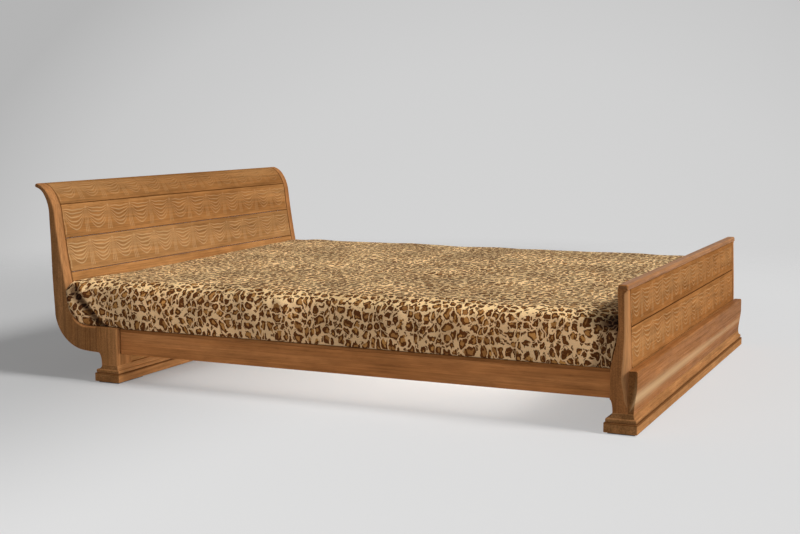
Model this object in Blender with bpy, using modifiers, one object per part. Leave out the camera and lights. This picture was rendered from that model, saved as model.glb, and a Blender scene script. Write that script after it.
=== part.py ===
"""Oak sleigh bed: a scrolled headboard, a low footboard, side rails, a slatted base and a fitted mattress.

Metres. +X runs from head to foot, +Y to the right as seen from the foot, +Z up, with the floor at Z = 0.
"""

import math

import bmesh
import bpy
import numpy as np
from mathutils import Matrix, Vector

# Overall sizes
BED_LENGTH = 2.130
BED_WIDTH = 1.660
JOINT_GAP = 0.0003
WELD_DISTANCE = 1e-6
MATCH_DISTANCE = 1e-5

# The base under each end: pads, plinth and moulding
PAD_HEIGHT = 0.004
PAD_LENGTH = 0.140
PAD_INSET = 0.010
PLINTH_HEIGHT = 0.029
PLINTH_EDGE = 0.0025
MOULDING_INSET = 0.004
MOULDING_HEIGHT = 0.0125
COVE_HEIGHT = 0.016

# What stands on the base
SEAT_HEIGHT = 0.191
STILE_WIDTH = 0.040
STILE_INSET = 0.008
STILE_ROUND = 0.008
BOARD_THICKNESS = 0.018
BOARD_EDGE = 0.0022

# Head end
HEAD_PLINTH_HEEL = 0.0095
HEAD_PLINTH_TOE = 0.011
LEG_DEPTH = 0.0795
LEG_EDGE = 0.006
NECK_DEPTH = 0.0145
HEAD_RAIL_RECESS = 0.010
BELLY_HEIGHT = 0.103
SEAT_RUN = 0.0505
HEAD_COVE_RADIUS = 0.060
HEAD_LEAN_LOW = math.radians(12.8)
HEAD_LEAN_HIGH = math.radians(7)
CURL_RADIUS_LOW = 0.150
CURL_LEAN_MIDDLE = math.radians(40)
CURL_RADIUS_HIGH = 0.070
CURL_LEAN_END = math.radians(79)
STILE_DEPTH_AT_COVE = 0.071
STILE_DEPTH_AT_WAIST = 0.0335
STILE_DEPTH_AT_CURL = 0.026
STILE_DEPTH_AT_TIP = 0.013
STILE_DEPTH_EASING = 0.040
HEAD_LINE_HEIGHT = 0.369
HEAD_BOARD_HEIGHT = 0.117
HEAD_CURL_LEAD = 0.029

# Foot end
FOOT_HEIGHT = 0.433
FOOT_LEAN = math.radians(2.4)
FOOT_LEAN_EASING = 0.012
FOOT_FACE_INSET = 0.0305
FOOT_LEG_DEPTH = 0.0545
FOOT_TOP_DEPTH = 0.0265
FOOT_TAPER_LEAD = 0.017
FOOT_TAPER_RUN = 0.150
FOOT_BOARD_HEIGHT = 0.120
FOOT_PLINTH_TOE = 0.015
CAP_HEIGHT = 0.015
CAP_NOSING = 0.003
CAP_ROUND = 0.005
APRON_THICKNESS = 0.026
APRON_ROUND = 0.004
APRON_SCOOP = 0.0085
APRON_UPRIGHT = 0.036
ROUND_STOP_HEIGHT = 0.018

# Side rails and slatted base
RAIL_RECESS = 0.018
RAIL_THICKNESS = 0.026
RAIL_DROP = 0.004
RAIL_HEIGHT = 0.087
RAIL_EDGE = 0.002
RAIL_CAP_HEIGHT = 0.010
RAIL_CAP_NOSING = 0.002
LEDGER_WIDTH = 0.024
LEDGER_HEIGHT = 0.025
SLAT_COUNT = 12
SLAT_WIDTH = 0.090
SLAT_THICKNESS = 0.018
SLAT_MARGIN = 0.005
SLAT_CLEARANCE = 0.002
SLAT_EDGE = 0.002
BEAM_WIDTH = 0.040
BEAM_HEIGHT = 0.060
HANGER_LENGTH = 0.050
HANGER_THICKNESS = 0.0025

# Steel corner brackets and their bolts
BRACKET_ARM = 0.040
BRACKET_REACH = 0.034
BRACKET_THICKNESS = 0.003
BRACKET_HEIGHT = 0.050
BRACKET_RISE = 0.010
BRACKET_MARGIN = 0.002
BOLT_RADIUS = 0.003
BOLT_COVER = 0.008
BOLT_HEAD_RADIUS = 0.006
BOLT_HEAD_HEIGHT = 0.0035
BOLT_CLEARANCE = 0.0003

# Mattress
MATTRESS_OVERHANG = 0.008
MATTRESS_HEIGHT = 0.158
MATTRESS_CROWN = 0.008
MATTRESS_DRAW = 0.006
MATTRESS_GAP = 0.0004
MATTRESS_CLEARANCE = 0.005
MATTRESS_LOOPS = 3
MATTRESS_FIRMNESS = (0.95, 0.94, 0.88)

# Facets of the curved outlines
COVE_STEPS = 10
BACK_STEPS = 8
CURL_STEPS_LOW = 7
CURL_STEPS_HIGH = 9
LIP_STEPS = 6
NECK_STEPS = 6
FOOT_BEND_STEPS = 3
FOOT_LEVELS = 22
NOSE_STEPS = 4
SCOOP_STEPS = 12
MOULDING_STEPS = 6
ROUND_SEGMENTS = 3
EDGE_SEGMENTS = 2
BOLT_SIDES = 12
EASING_SAMPLES = 9
BEVEL_ANGLE = math.radians(50)
SMOOTH_ANGLE = math.radians(35)
FLAT_ANGLE = math.radians(0.02)

# Levels and places that follow from the sizes above
PLINTH_BOTTOM = PAD_HEIGHT + JOINT_GAP
PLINTH_TOP = PLINTH_BOTTOM + PLINTH_HEIGHT
MOULDING_BOTTOM = PLINTH_TOP + JOINT_GAP
MOULDING_TOP = MOULDING_BOTTOM + MOULDING_HEIGHT
BASE_TOP = MOULDING_TOP + COVE_HEIGHT
STAND = BASE_TOP + JOINT_GAP
HALF_WIDTH = BED_WIDTH / 2
STILE_OUT = HALF_WIDTH - STILE_INSET
STILE_IN = STILE_OUT - STILE_WIDTH
RAIL_OUT = STILE_OUT - RAIL_RECESS
RAIL_IN = RAIL_OUT - RAIL_THICKNESS
RAIL_TOP = SEAT_HEIGHT - RAIL_DROP
RAIL_BOTTOM = RAIL_TOP - RAIL_HEIGHT
LEG_IN = RAIL_IN - BRACKET_REACH - BRACKET_MARGIN
FOOT_PLINTH_OUT = BED_LENGTH / 2
FOOT_FACE = FOOT_PLINTH_OUT - FOOT_FACE_INSET
FOOT_IN = FOOT_FACE - FOOT_LEG_DEPTH
FOOT_CAP_BOTTOM = FOOT_HEIGHT - CAP_HEIGHT
FOOT_LINE_HEIGHT = RAIL_TOP + FOOT_BOARD_HEIGHT
FOOT_TAPER_START = RAIL_TOP - FOOT_TAPER_LEAD
APRON_FOOT = FOOT_FACE + APRON_THICKNESS - APRON_SCOOP
SLAT_BOTTOM = SEAT_HEIGHT - SLAT_THICKNESS
LEDGER_TOP = SLAT_BOTTOM - JOINT_GAP
BOLT_BITE = RAIL_THICKNESS - BOLT_COVER
SIDES = {"left": -1, "right": 1}


def clear_scene():
    for obj in list(bpy.data.objects):
        bpy.data.objects.remove(obj, do_unlink=True)


def make_collection(name):
    collection = bpy.data.collections.new(name)
    bpy.context.scene.collection.children.link(collection)
    return collection


def make_material(name, colour, roughness, metallic=0.0):
    material = bpy.data.materials.new(name)
    material.use_nodes = True
    shader = material.node_tree.nodes["Principled BSDF"]
    shader.inputs["Base Color"].default_value = (*colour, 1.0)
    shader.inputs["Roughness"].default_value = roughness
    shader.inputs["Metallic"].default_value = metallic
    return material


clear_scene()
BED = make_collection("sleigh_bed")
CUTTERS = make_collection("cutters")
OAK = make_material("limed_oak", (0.42, 0.21, 0.075), 0.45)
OAK_CARVED = make_material("carved_oak", (0.40, 0.21, 0.08), 0.50)
BEECH = make_material("beech", (0.55, 0.38, 0.20), 0.60)
STEEL = make_material("blackened_steel", (0.10, 0.10, 0.11), 0.40, 1.0)
FELT = make_material("felt", (0.05, 0.045, 0.04), 0.95)
VELVET = make_material("spotted_velvet", (0.40, 0.25, 0.09), 0.85)


def make_empty(name, location=(0, 0, 0)):
    empty = bpy.data.objects.new(name, None)
    empty.location = location
    BED.objects.link(empty)
    return empty


FRAME = make_empty("bed_frame")
MATTRESS_LIFT = make_empty("mattress_lift", (0, 0, SEAT_HEIGHT))


def add_part(name, mesh, material, matrix=None, parent=FRAME):
    """One sub-part: the mesh with its finish, at its place."""
    obj = bpy.data.objects.new(name, mesh)
    obj.matrix_basis = matrix or Matrix()
    obj.parent = parent
    mesh.materials.clear()
    mesh.materials.append(material)
    BED.objects.link(obj)
    return obj


def walk(start, heading, moves):
    """A chain of straights and arcs from a start point: each move is (length, turn, steps).

    Returns the points, the heading at each, and the distance walked to each.
    """
    points, headings, stations = [np.array(start, float)], [heading], [0.0]
    for length, turn, steps in moves:
        origin, first, before = points[-1], headings[-1], stations[-1]
        for step in range(1, steps + 1):
            part = step / steps
            now = first + turn * part
            if turn:
                radius = length / turn
                ahead = radius * (math.sin(now) - math.sin(first))
                rise = radius * (math.cos(first) - math.cos(now))
            else:
                ahead = length * part * math.cos(first)
                rise = length * part * math.sin(first)
            points.append(origin + np.array([ahead, rise]))
            headings.append(now)
            stations.append(before + length * part)
    return np.array(points), np.array(headings), np.array(stations)


def arc_for_rise(rise, heading, turn):
    """Length of an arc that starts at a heading, makes a turn and rises by a height."""
    return rise * turn / (math.cos(heading) - math.cos(heading + turn))


def along(path, stations):
    """Points of a path at the given distances, and the unit normals to their left."""
    points, headings, walked = path
    place = np.column_stack([np.interp(stations, walked, points[:, axis]) for axis in (0, 1)])
    heading = np.interp(stations, walked, headings)
    return place, np.column_stack([-np.sin(heading), np.cos(heading)])


def station_at_height(path, height):
    """Distance along a rising path at which it reaches a height."""
    points, _, walked = path
    return float(np.interp(height, points[:, 1], walked))


def stations_between(path, first, last):
    walked = path[2]
    inner = walked[(walked > first + JOINT_GAP) & (walked < last - JOINT_GAP)]
    return np.concatenate([[first], inner, [last]])


def strip(path, first, last, depth):
    """Outline between two stations: the path itself, then the line that lies depth to its left."""
    stations = stations_between(path, first, last)
    face, normals = along(path, stations)
    back = face + normals * np.broadcast_to(depth(stations), stations.shape)[:, None]
    return face, back[::-1]


def half_round(first, last):
    """Points of a half circle that bulges to the right of the line from first to last, without its ends."""
    centre, arm = (first + last) / 2, (first - last) / 2
    turns = [math.pi * step / LIP_STEPS for step in range(1, LIP_STEPS)]
    side = np.array([-arm[1], arm[0]])
    return np.array([centre + arm * math.cos(turn) + side * math.sin(turn) for turn in turns])


def outline_mesh(name, outline, thickness):
    """A flat outline thickened both ways: a filled 2D curve made a mesh, with its caps welded on."""
    curve = bpy.data.curves.new(name, "CURVE")
    curve.dimensions = "2D"
    curve.fill_mode = "BOTH"
    curve.extrude = thickness / 2
    spline = curve.splines.new("POLY")
    spline.points.add(len(outline) - 1)
    for point, (x, y) in zip(spline.points, outline):
        point.co = (x, y, 0, 1)
    spline.use_cyclic_u = True
    guide = bpy.data.objects.new(name, curve)
    BED.objects.link(guide)
    evaluated = guide.evaluated_get(bpy.context.evaluated_depsgraph_get())
    mesh = bpy.data.meshes.new_from_object(evaluated)
    bpy.data.objects.remove(guide)
    bpy.data.curves.remove(curve)
    work = bmesh.new()
    work.from_mesh(mesh)
    bmesh.ops.remove_doubles(work, verts=work.verts, dist=WELD_DISTANCE)
    bmesh.ops.dissolve_limit(work, verts=work.verts, edges=work.edges, angle_limit=FLAT_ANGLE)
    bmesh.ops.recalc_face_normals(work, faces=work.faces)
    work.to_mesh(mesh)
    work.free()
    mesh.name = name
    return mesh


ACROSS = Matrix.Rotation(math.pi / 2, 4, "X")
LENGTHWISE = Matrix.Rotation(math.pi / 2, 4, "Z") @ ACROSS


def bar_across(name, outline, low, high, material):
    """An XZ outline carried along Y from low to high."""
    place = Matrix.Translation((0, (low + high) / 2, 0)) @ ACROSS
    return add_part(name, outline_mesh(name, outline, high - low), material, place)


def bar_lengthwise(name, outline, low, high, material):
    """A YZ outline carried along X from low to high."""
    place = Matrix.Translation(((low + high) / 2, 0, 0)) @ LENGTHWISE
    return add_part(name, outline_mesh(name, outline, high - low), material, place)


def rectangle(left, right, bottom, top):
    return [(left, bottom), (right, bottom), (right, top), (left, top)]


def bevel(obj, width, segments=1, limit="ANGLE"):
    modifier = obj.modifiers.new("edges", "BEVEL")
    modifier.width = width
    modifier.segments = segments
    modifier.limit_method = limit
    modifier.angle_limit = BEVEL_ANGLE
    obj.data.shade_smooth()
    obj.data.set_sharp_from_angle(angle=SMOOTH_ANGLE)


def bevel_chosen(obj, width, segments, chosen):
    """Rounds only the edges whose two ends both satisfy chosen, given in world coordinates."""
    ends = [chosen(obj.matrix_basis @ vertex.co) for vertex in obj.data.vertices]
    weights = obj.data.attributes.new("bevel_weight_edge", "FLOAT", "EDGE")
    for edge, weight in zip(obj.data.edges, weights.data):
        weight.value = float(ends[edge.vertices[0]] and ends[edge.vertices[1]])
    bevel(obj, width, segments, "WEIGHT")


def mean_of_interval(stations, places, values, easing):
    """Straight runs between places, with each kink eased over a distance either side."""
    shifts = np.linspace(-easing, easing, EASING_SAMPLES)
    return np.mean([np.interp(stations + shift, places, values) for shift in shifts], axis=0)


def head_path():
    """Face line of the head, from the top of the leg back along the seat, up the board and round the curl."""
    cove_turn = math.pi / 2 - HEAD_LEAN_LOW
    back_heading = math.pi / 2 + HEAD_LEAN_LOW
    back_turn = HEAD_LEAN_HIGH - HEAD_LEAN_LOW
    cove_top = SEAT_HEIGHT + HEAD_COVE_RADIUS * (1 - math.cos(cove_turn))
    curl_height = HEAD_LINE_HEIGHT + 2 * HEAD_BOARD_HEIGHT - HEAD_CURL_LEAD
    back_run = arc_for_rise(curl_height - cove_top, back_heading, back_turn)
    lower_turn = CURL_LEAN_MIDDLE - HEAD_LEAN_HIGH
    upper_turn = CURL_LEAN_END - CURL_LEAN_MIDDLE
    moves = [
        (SEAT_RUN, 0.0, EDGE_SEGMENTS),
        (HEAD_COVE_RADIUS * cove_turn, -cove_turn, COVE_STEPS),
        (back_run, back_turn, BACK_STEPS),
        (CURL_RADIUS_LOW * lower_turn, lower_turn, CURL_STEPS_LOW),
        (CURL_RADIUS_HIGH * upper_turn, upper_turn, CURL_STEPS_HIGH),
    ]
    ends = np.cumsum([move[0] for move in moves])
    return walk((0.0, SEAT_HEIGHT), math.pi, moves), ends


HEAD_LOCAL, HEAD_ENDS = head_path()
HEAD_COVE_END, HEAD_CURL_START, HEAD_TIP = HEAD_ENDS[1], HEAD_ENDS[2], HEAD_ENDS[4]


def head_stile_depth(stations):
    at_leg = SEAT_HEIGHT - BELLY_HEIGHT
    waist = station_at_height(HEAD_LOCAL, HEAD_LINE_HEIGHT + HEAD_BOARD_HEIGHT)
    places = [0.0, SEAT_RUN, HEAD_COVE_END, waist, HEAD_CURL_START, HEAD_TIP]
    upper_depths = [STILE_DEPTH_AT_COVE, STILE_DEPTH_AT_WAIST, STILE_DEPTH_AT_CURL, STILE_DEPTH_AT_TIP]
    depths = [at_leg, at_leg, *upper_depths]
    return mean_of_interval(stations, places, depths, STILE_DEPTH_EASING)


def head_stile_outline(path):
    face, back = strip(path, 0.0, HEAD_TIP, head_stile_depth)
    return np.vstack([face, half_round(face[-1], back[0]), back])


# The head is drawn from its leg outwards, then set so that the curl's tip lies at the end of the bed.
HEAD_LEG_OUT = -BED_LENGTH / 2 - head_stile_outline(HEAD_LOCAL)[:, 0].min()
HEAD_PATH = (HEAD_LOCAL[0] + np.array([HEAD_LEG_OUT, 0.0]), HEAD_LOCAL[1], HEAD_LOCAL[2])
HEAD_LEG_FACE = HEAD_LEG_OUT + LEG_DEPTH
HEAD_RAIL_FACE = HEAD_LEG_FACE - HEAD_RAIL_RECESS


def foot_path():
    """Face line of the foot, straight up from the base behind the apron and then leaning in a little."""
    straight = RAIL_TOP - STAND - FOOT_LEAN_EASING
    leaning = (FOOT_CAP_BOTTOM - JOINT_GAP - RAIL_TOP) / math.cos(FOOT_LEAN)
    moves = [(straight, 0.0, 1), (FOOT_LEAN_EASING, FOOT_LEAN, FOOT_BEND_STEPS), (leaning, 0.0, 1)]
    return walk((FOOT_FACE, STAND), math.pi / 2, moves)


FOOT_PATH = foot_path()


def foot_face_at(height):
    return np.interp(height, FOOT_PATH[0][:, 1], FOOT_PATH[0][:, 0])


def foot_inner_at(height):
    """Inner side of the foot: upright beside the rail, then swept out to the thin top."""
    part = np.clip((height - FOOT_TAPER_START) / FOOT_TAPER_RUN, 0, 1)
    sweep = part * part * (3 - 2 * part)
    return (1 - sweep) * FOOT_IN + sweep * (foot_face_at(height) - FOOT_TOP_DEPTH)


def head_board(name, first, last, material, half_width, depth):
    face, back = strip(HEAD_PATH, first + JOINT_GAP / 2, last - JOINT_GAP / 2, depth)
    board = bar_across(name, np.vstack([face, back]), -half_width, half_width, material)
    bevel(board, BOARD_EDGE)


def head_top_board(first, half_width):
    """The carved board that bends round the curl, with the stile's own rounded lip."""

    def depth(stations):
        return np.minimum(BOARD_THICKNESS, head_stile_depth(stations))

    face, back = strip(HEAD_PATH, first + JOINT_GAP / 2, HEAD_TIP, depth)
    outline = np.vstack([face, half_round(face[-1], back[0]), back])
    board = bar_across("head_board_top", outline, -half_width, half_width, OAK_CARVED)
    bevel(board, BOARD_EDGE)


def head_panel():
    half_width = STILE_IN - JOINT_GAP

    def depth(stations):
        return BOARD_THICKNESS

    heights = [HEAD_LINE_HEIGHT + HEAD_BOARD_HEIGHT * row for row in range(3)]
    base_line, lower_line, middle_line = [station_at_height(HEAD_PATH, height) for height in heights]
    head_board("head_belly_board", 0.0, HEAD_COVE_END, OAK, half_width, depth)
    head_board("head_board_base", HEAD_COVE_END, base_line, OAK, half_width, depth)
    head_board("head_board_lower", base_line, lower_line, OAK_CARVED, half_width, depth)
    head_board("head_board_middle", lower_line, middle_line, OAK_CARVED, half_width, depth)
    head_top_board(middle_line, half_width)


def spanning(side, inner, outer):
    """Low and high Y of a piece between two distances from the middle, on one side of the bed."""
    return sorted((side * inner, side * outer))


def head_stiles():
    outline = head_stile_outline(HEAD_PATH)
    face_points = HEAD_PATH[0]
    for word, side in SIDES.items():
        low, high = spanning(side, STILE_IN, STILE_OUT)
        stile = bar_across(f"head_stile_{word}", outline, low, high, OAK)

        def on_face_edge(point, side=side):
            near = np.abs(face_points - np.array([point.x, point.z])).sum(axis=1).min() < MATCH_DISTANCE
            return near and abs(point.y - side * STILE_OUT) < MATCH_DISTANCE

        bevel_chosen(stile, STILE_ROUND, ROUND_SEGMENTS, on_face_edge)


def neck():
    """Cavetto under the belly of the stile, from its underside in to the neck of the leg."""
    fall = BELLY_HEIGHT - STAND
    turns = np.linspace(0, math.pi / 2, NECK_STEPS + 1)
    inward = HEAD_LEG_OUT + JOINT_GAP + NECK_DEPTH * np.sin(turns)
    return list(zip(inward, BELLY_HEIGHT - fall * (1 - np.cos(turns))))


def leg_outline(face):
    """What stands under the seat at the head, from its inner face back to the neck."""
    return [(face, STAND), (face, SEAT_HEIGHT), (HEAD_LEG_OUT + JOINT_GAP, SEAT_HEIGHT), *neck()]


def head_legs():
    outline = leg_outline(HEAD_LEG_FACE)
    legs = {}
    for word, side in SIDES.items():
        low, high = spanning(side, LEG_IN, STILE_OUT)
        leg = bar_across(f"head_leg_{word}", outline, low, high, OAK)

        def on_front_edge(point, side=side):
            at_front = abs(point.x - HEAD_LEG_FACE) < MATCH_DISTANCE
            return at_front and abs(point.y - side * STILE_OUT) < MATCH_DISTANCE

        bevel_chosen(leg, LEG_EDGE, EDGE_SEGMENTS, on_front_edge)
        legs[word] = leg
    return legs


def head_base_rail():
    half_width = LEG_IN - JOINT_GAP
    bar_across("head_base_rail", leg_outline(HEAD_RAIL_FACE), -half_width, half_width, OAK)


def foot_stiles():
    stop = STAND + ROUND_STOP_HEIGHT
    rise = np.linspace(stop, FOOT_CAP_BOTTOM - JOINT_GAP, FOOT_LEVELS)
    outer = [(foot_face_at(height), height) for height in rise]
    inner = [(foot_inner_at(height), height) for height in rise[::-1]]
    outline = [(FOOT_IN, STAND), (FOOT_FACE, STAND), *outer, *inner]
    for word, side in SIDES.items():
        low, high = spanning(side, STILE_IN, STILE_OUT)
        stile = bar_across(f"foot_stile_{word}", outline, low, high, OAK)

        def on_outer_edge(point, side=side):
            above = point.z > stop - MATCH_DISTANCE
            at_face = abs(point.x - foot_face_at(point.z)) < MATCH_DISTANCE
            return above and at_face and abs(point.y - side * STILE_OUT) < MATCH_DISTANCE

        bevel_chosen(stile, STILE_ROUND, ROUND_SEGMENTS, on_outer_edge)


def foot_boards():
    half_width = STILE_IN - JOINT_GAP
    lines = [RAIL_TOP, FOOT_LINE_HEIGHT, FOOT_CAP_BOTTOM - JOINT_GAP]
    stations = [station_at_height(FOOT_PATH, height) for height in lines]

    def depth(stations):
        return BOARD_THICKNESS

    for name, first, last in zip(("foot_board_lower", "foot_board_upper"), stations, stations[1:]):
        face, back = strip(FOOT_PATH, first + JOINT_GAP / 2, last - JOINT_GAP / 2, depth)
        board = bar_across(name, np.vstack([face, back]), -half_width, half_width, OAK_CARVED)
        bevel(board, BOARD_EDGE)


def foot_cap_rail():
    bottom, top = FOOT_CAP_BOTTOM, FOOT_HEIGHT
    inner, outer = foot_inner_at(bottom), foot_face_at(bottom) + CAP_NOSING
    cap = bar_across("foot_cap_rail", rectangle(inner, outer, bottom, top), -STILE_OUT, STILE_OUT, OAK)

    def on_top(point):
        return abs(point.z - top) < MATCH_DISTANCE

    bevel_chosen(cap, CAP_ROUND, ROUND_SEGMENTS, on_top)


def foot_base_rail():
    """Cross rail behind the apron. The leaning board above it dips a little at its back."""
    half_width = STILE_IN - JOINT_GAP
    top = RAIL_TOP - JOINT_GAP - BOARD_THICKNESS * math.sin(FOOT_LEAN)
    outline = rectangle(FOOT_IN, FOOT_FACE - JOINT_GAP, STAND, top)
    return bar_across("foot_base_rail", outline, -half_width, half_width, OAK)


def foot_apron():
    """Ogee board across the foot, outside its stiles: a rounded ledge, an upright face and a scoop below."""
    back = FOOT_FACE + JOINT_GAP
    front = FOOT_FACE + APRON_THICKNESS
    turns = np.linspace(0, math.pi / 2, NOSE_STEPS + 1)
    nose_bottom = RAIL_TOP - APRON_ROUND
    nose = zip(front - APRON_ROUND * (1 - np.cos(turns)), nose_bottom + APRON_ROUND * np.sin(turns))
    parts = np.linspace(0, 1, SCOOP_STEPS + 1)
    swing = (1 + np.cos(math.pi * parts)) / 2
    scoop = zip(front - APRON_SCOOP * swing, STAND + (nose_bottom - APRON_UPRIGHT - STAND) * parts)
    outline = [(back, STAND), *scoop, *nose, (back, RAIL_TOP)]
    apron = bar_across("foot_apron", outline, -STILE_OUT, STILE_OUT, OAK)
    apron.data.shade_smooth()
    apron.data.set_sharp_from_angle(angle=SMOOTH_ANGLE)


def base_moulding(name, low, high, stand_low, stand_high):
    """Half-round moulding with a cove above it: a loft of rectangles from the plinth to its load."""
    half = HALF_WIDTH - MOULDING_INSET
    nose = MOULDING_HEIGHT / 2
    levels = []
    for turn in np.linspace(0, math.pi, MOULDING_STEPS + 1):
        draw = nose * (1 - math.sin(turn)) / 2
        height = MOULDING_BOTTOM + nose * (1 - math.cos(turn))
        levels.append((low + draw, high - draw, half - draw, height))
    foot_low, foot_high, foot_half, foot_height = levels[-1]
    for turn in np.linspace(0, math.pi / 2, MOULDING_STEPS + 1)[1:]:
        inward = math.sin(turn)
        levels.append(
            (
                foot_low + (stand_low - foot_low) * inward,
                foot_high + (stand_high - foot_high) * inward,
                foot_half + (STILE_OUT - foot_half) * inward,
                foot_height + COVE_HEIGHT * (1 - math.cos(turn)),
            )
        )
    work = bmesh.new()
    rings = []
    for left, right, reach, height in levels:
        corners = [(left, -reach), (right, -reach), (right, reach), (left, reach)]
        rings.append([work.verts.new((x, y, height)) for x, y in corners])
    for below, above in zip(rings, rings[1:]):
        for corner in range(4):
            after = (corner + 1) % 4
            work.faces.new((below[corner], below[after], above[after], above[corner]))
    work.faces.new(rings[0][::-1])
    work.faces.new(rings[-1])
    bmesh.ops.recalc_face_normals(work, faces=work.faces)
    mesh = bpy.data.meshes.new(name)
    work.to_mesh(mesh)
    work.free()
    mesh.shade_smooth()
    mesh.set_sharp_from_angle(angle=SMOOTH_ANGLE)
    add_part(name, mesh, OAK)


def box(name, corners_low, corners_high, material):
    """A rectangular block between two corners."""
    low, high = Vector(corners_low), Vector(corners_high)
    work = bmesh.new()
    bmesh.ops.create_cube(work, size=1.0)
    bmesh.ops.scale(work, vec=high - low, verts=work.verts)
    mesh = bpy.data.meshes.new(name)
    work.to_mesh(mesh)
    work.free()
    return add_part(name, mesh, material, Matrix.Translation((low + high) / 2))


def end_base(end, plinth_low, plinth_high, stand_low, stand_high):
    """Plinth, moulding and felt pads of one end of the bed."""
    plinth = box(
        f"{end}_plinth",
        (plinth_low, -HALF_WIDTH, PLINTH_BOTTOM),
        (plinth_high, HALF_WIDTH, PLINTH_TOP),
        OAK,
    )
    bevel(plinth, PLINTH_EDGE, EDGE_SEGMENTS)
    base_moulding(
        f"{end}_moulding", plinth_low + MOULDING_INSET, plinth_high - MOULDING_INSET, stand_low, stand_high
    )
    for word, side in SIDES.items():
        outer = HALF_WIDTH - PAD_INSET
        low, high = spanning(side, outer - PAD_LENGTH, outer)
        box(
            f"{end}_pad_{word}",
            (plinth_low + PAD_INSET, low, 0.0),
            (plinth_high - PAD_INSET, high, PAD_HEIGHT),
            FELT,
        )


def side_rails():
    low, high = HEAD_LEG_FACE + JOINT_GAP, FOOT_IN - JOINT_GAP
    cap_bottom = RAIL_TOP - RAIL_CAP_HEIGHT
    bracket_end = BRACKET_ARM + 2 * JOINT_GAP
    rails = {}
    for word, side in SIDES.items():
        outer, inner = side * RAIL_OUT, side * RAIL_IN
        left, right = min(outer, inner), max(outer, inner)
        rail = bar_lengthwise(
            f"side_rail_{word}", rectangle(left, right, RAIL_BOTTOM, cap_bottom - JOINT_GAP), low, high, OAK
        )
        rails[word] = rail
        nosing = side * (RAIL_OUT + RAIL_CAP_NOSING)
        cap = bar_lengthwise(
            f"rail_cap_{word}",
            rectangle(min(nosing, inner), max(nosing, inner), cap_bottom, RAIL_TOP),
            low,
            high,
            OAK,
        )
        bevel(cap, RAIL_EDGE, EDGE_SEGMENTS)
        face = RAIL_IN - JOINT_GAP
        near, far = spanning(side, face - LEDGER_WIDTH, face)
        bar_lengthwise(
            f"ledger_{word}",
            rectangle(near, far, LEDGER_TOP - LEDGER_HEIGHT, LEDGER_TOP),
            low + bracket_end,
            high - bracket_end,
            BEECH,
        )
    return rails


def slats():
    reach = RAIL_IN - SLAT_CLEARANCE
    end_margin = BRACKET_ARM + SLAT_MARGIN
    first = HEAD_LEG_FACE + end_margin
    last = FOOT_IN - end_margin - SLAT_WIDTH
    for number in range(SLAT_COUNT):
        low = first + (last - first) * number / (SLAT_COUNT - 1)
        corner_low = (low, -reach, SLAT_BOTTOM)
        corner_high = (low + SLAT_WIDTH, reach, SEAT_HEIGHT)
        slat = box(f"slat_{number + 1:02d}", corner_low, corner_high, BEECH)
        bevel(slat, SLAT_EDGE)


def centre_beam():
    """The beam under the slats, carried at each end by a steel stirrup against the cross rail."""
    low, high = HEAD_RAIL_FACE + JOINT_GAP, FOOT_IN - JOINT_GAP
    half, top = BEAM_WIDTH / 2, SLAT_BOTTOM - JOINT_GAP
    bottom = top - BEAM_HEIGHT
    bar_lengthwise("centre_beam", rectangle(-half, half, bottom, top), low, high, BEECH)
    inside, under = half + JOINT_GAP, bottom - JOINT_GAP
    outside, sole = inside + HANGER_THICKNESS, under - HANGER_THICKNESS
    stirrup = [(-outside, top), (-outside, sole), (outside, sole), (outside, top)]
    stirrup += [(inside, top), (inside, under), (-inside, under), (-inside, top)]
    bar_lengthwise("beam_hanger_head", stirrup, low, low + HANGER_LENGTH, STEEL)
    bar_lengthwise("beam_hanger_foot", stirrup, high - HANGER_LENGTH, high, STEEL)


def bolt_mesh(name, grip):
    """Pan-head bolt turned about Z: its head above the origin, its shank below through the plate's grip."""
    chamfer = BOLT_HEAD_HEIGHT / 3
    tip = -(grip + BOLT_BITE)
    profile = [
        (0.0, BOLT_HEAD_HEIGHT),
        (BOLT_HEAD_RADIUS - chamfer, BOLT_HEAD_HEIGHT),
        (BOLT_HEAD_RADIUS, BOLT_HEAD_HEIGHT - chamfer),
        (BOLT_HEAD_RADIUS, 0.0),
        (BOLT_RADIUS, 0.0),
        (BOLT_RADIUS, tip),
        (0.0, tip),
    ]
    mesh = bpy.data.meshes.new(name)
    mesh.from_pydata([(x, 0, z) for x, z in profile], [(i, i + 1) for i in range(len(profile) - 1)], [])
    return mesh


def add_bolt(name, seat, direction, grip, bored):
    """A bolt whose head sits at seat and faces direction, with a clearance hole cut in each bored piece."""
    turn = Vector(direction).to_track_quat("Z", "Y").to_matrix().to_4x4()
    place = Matrix.Translation(seat) @ turn
    bolt = add_part(name, bolt_mesh(name, grip), STEEL, place)
    screw = bolt.modifiers.new("turned", "SCREW")
    screw.steps = BOLT_SIDES
    screw.render_steps = BOLT_SIDES
    screw.use_merge_vertices = True
    screw.merge_threshold = MATCH_DISTANCE
    depth = grip + BOLT_BITE + 2 * BOLT_HEAD_HEIGHT
    work = bmesh.new()
    bmesh.ops.create_cone(
        work,
        cap_ends=True,
        segments=BOLT_SIDES,
        radius1=BOLT_RADIUS + BOLT_CLEARANCE,
        radius2=BOLT_RADIUS + BOLT_CLEARANCE,
        depth=depth,
    )
    mesh = bpy.data.meshes.new(f"{name}_hole")
    work.to_mesh(mesh)
    work.free()
    cutter = bpy.data.objects.new(f"{name}_hole", mesh)
    middle = BOLT_HEAD_HEIGHT - depth / 2
    cutter.matrix_basis = place @ Matrix.Translation((0, 0, middle))
    cutter.hide_render = True
    cutter.display_type = "WIRE"
    CUTTERS.objects.link(cutter)
    for piece in bored:
        cut = piece.modifiers.new(f"{name}_hole", "BOOLEAN")
        cut.operation = "DIFFERENCE"
        cut.solver = "EXACT"
        cut.object = cutter


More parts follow.
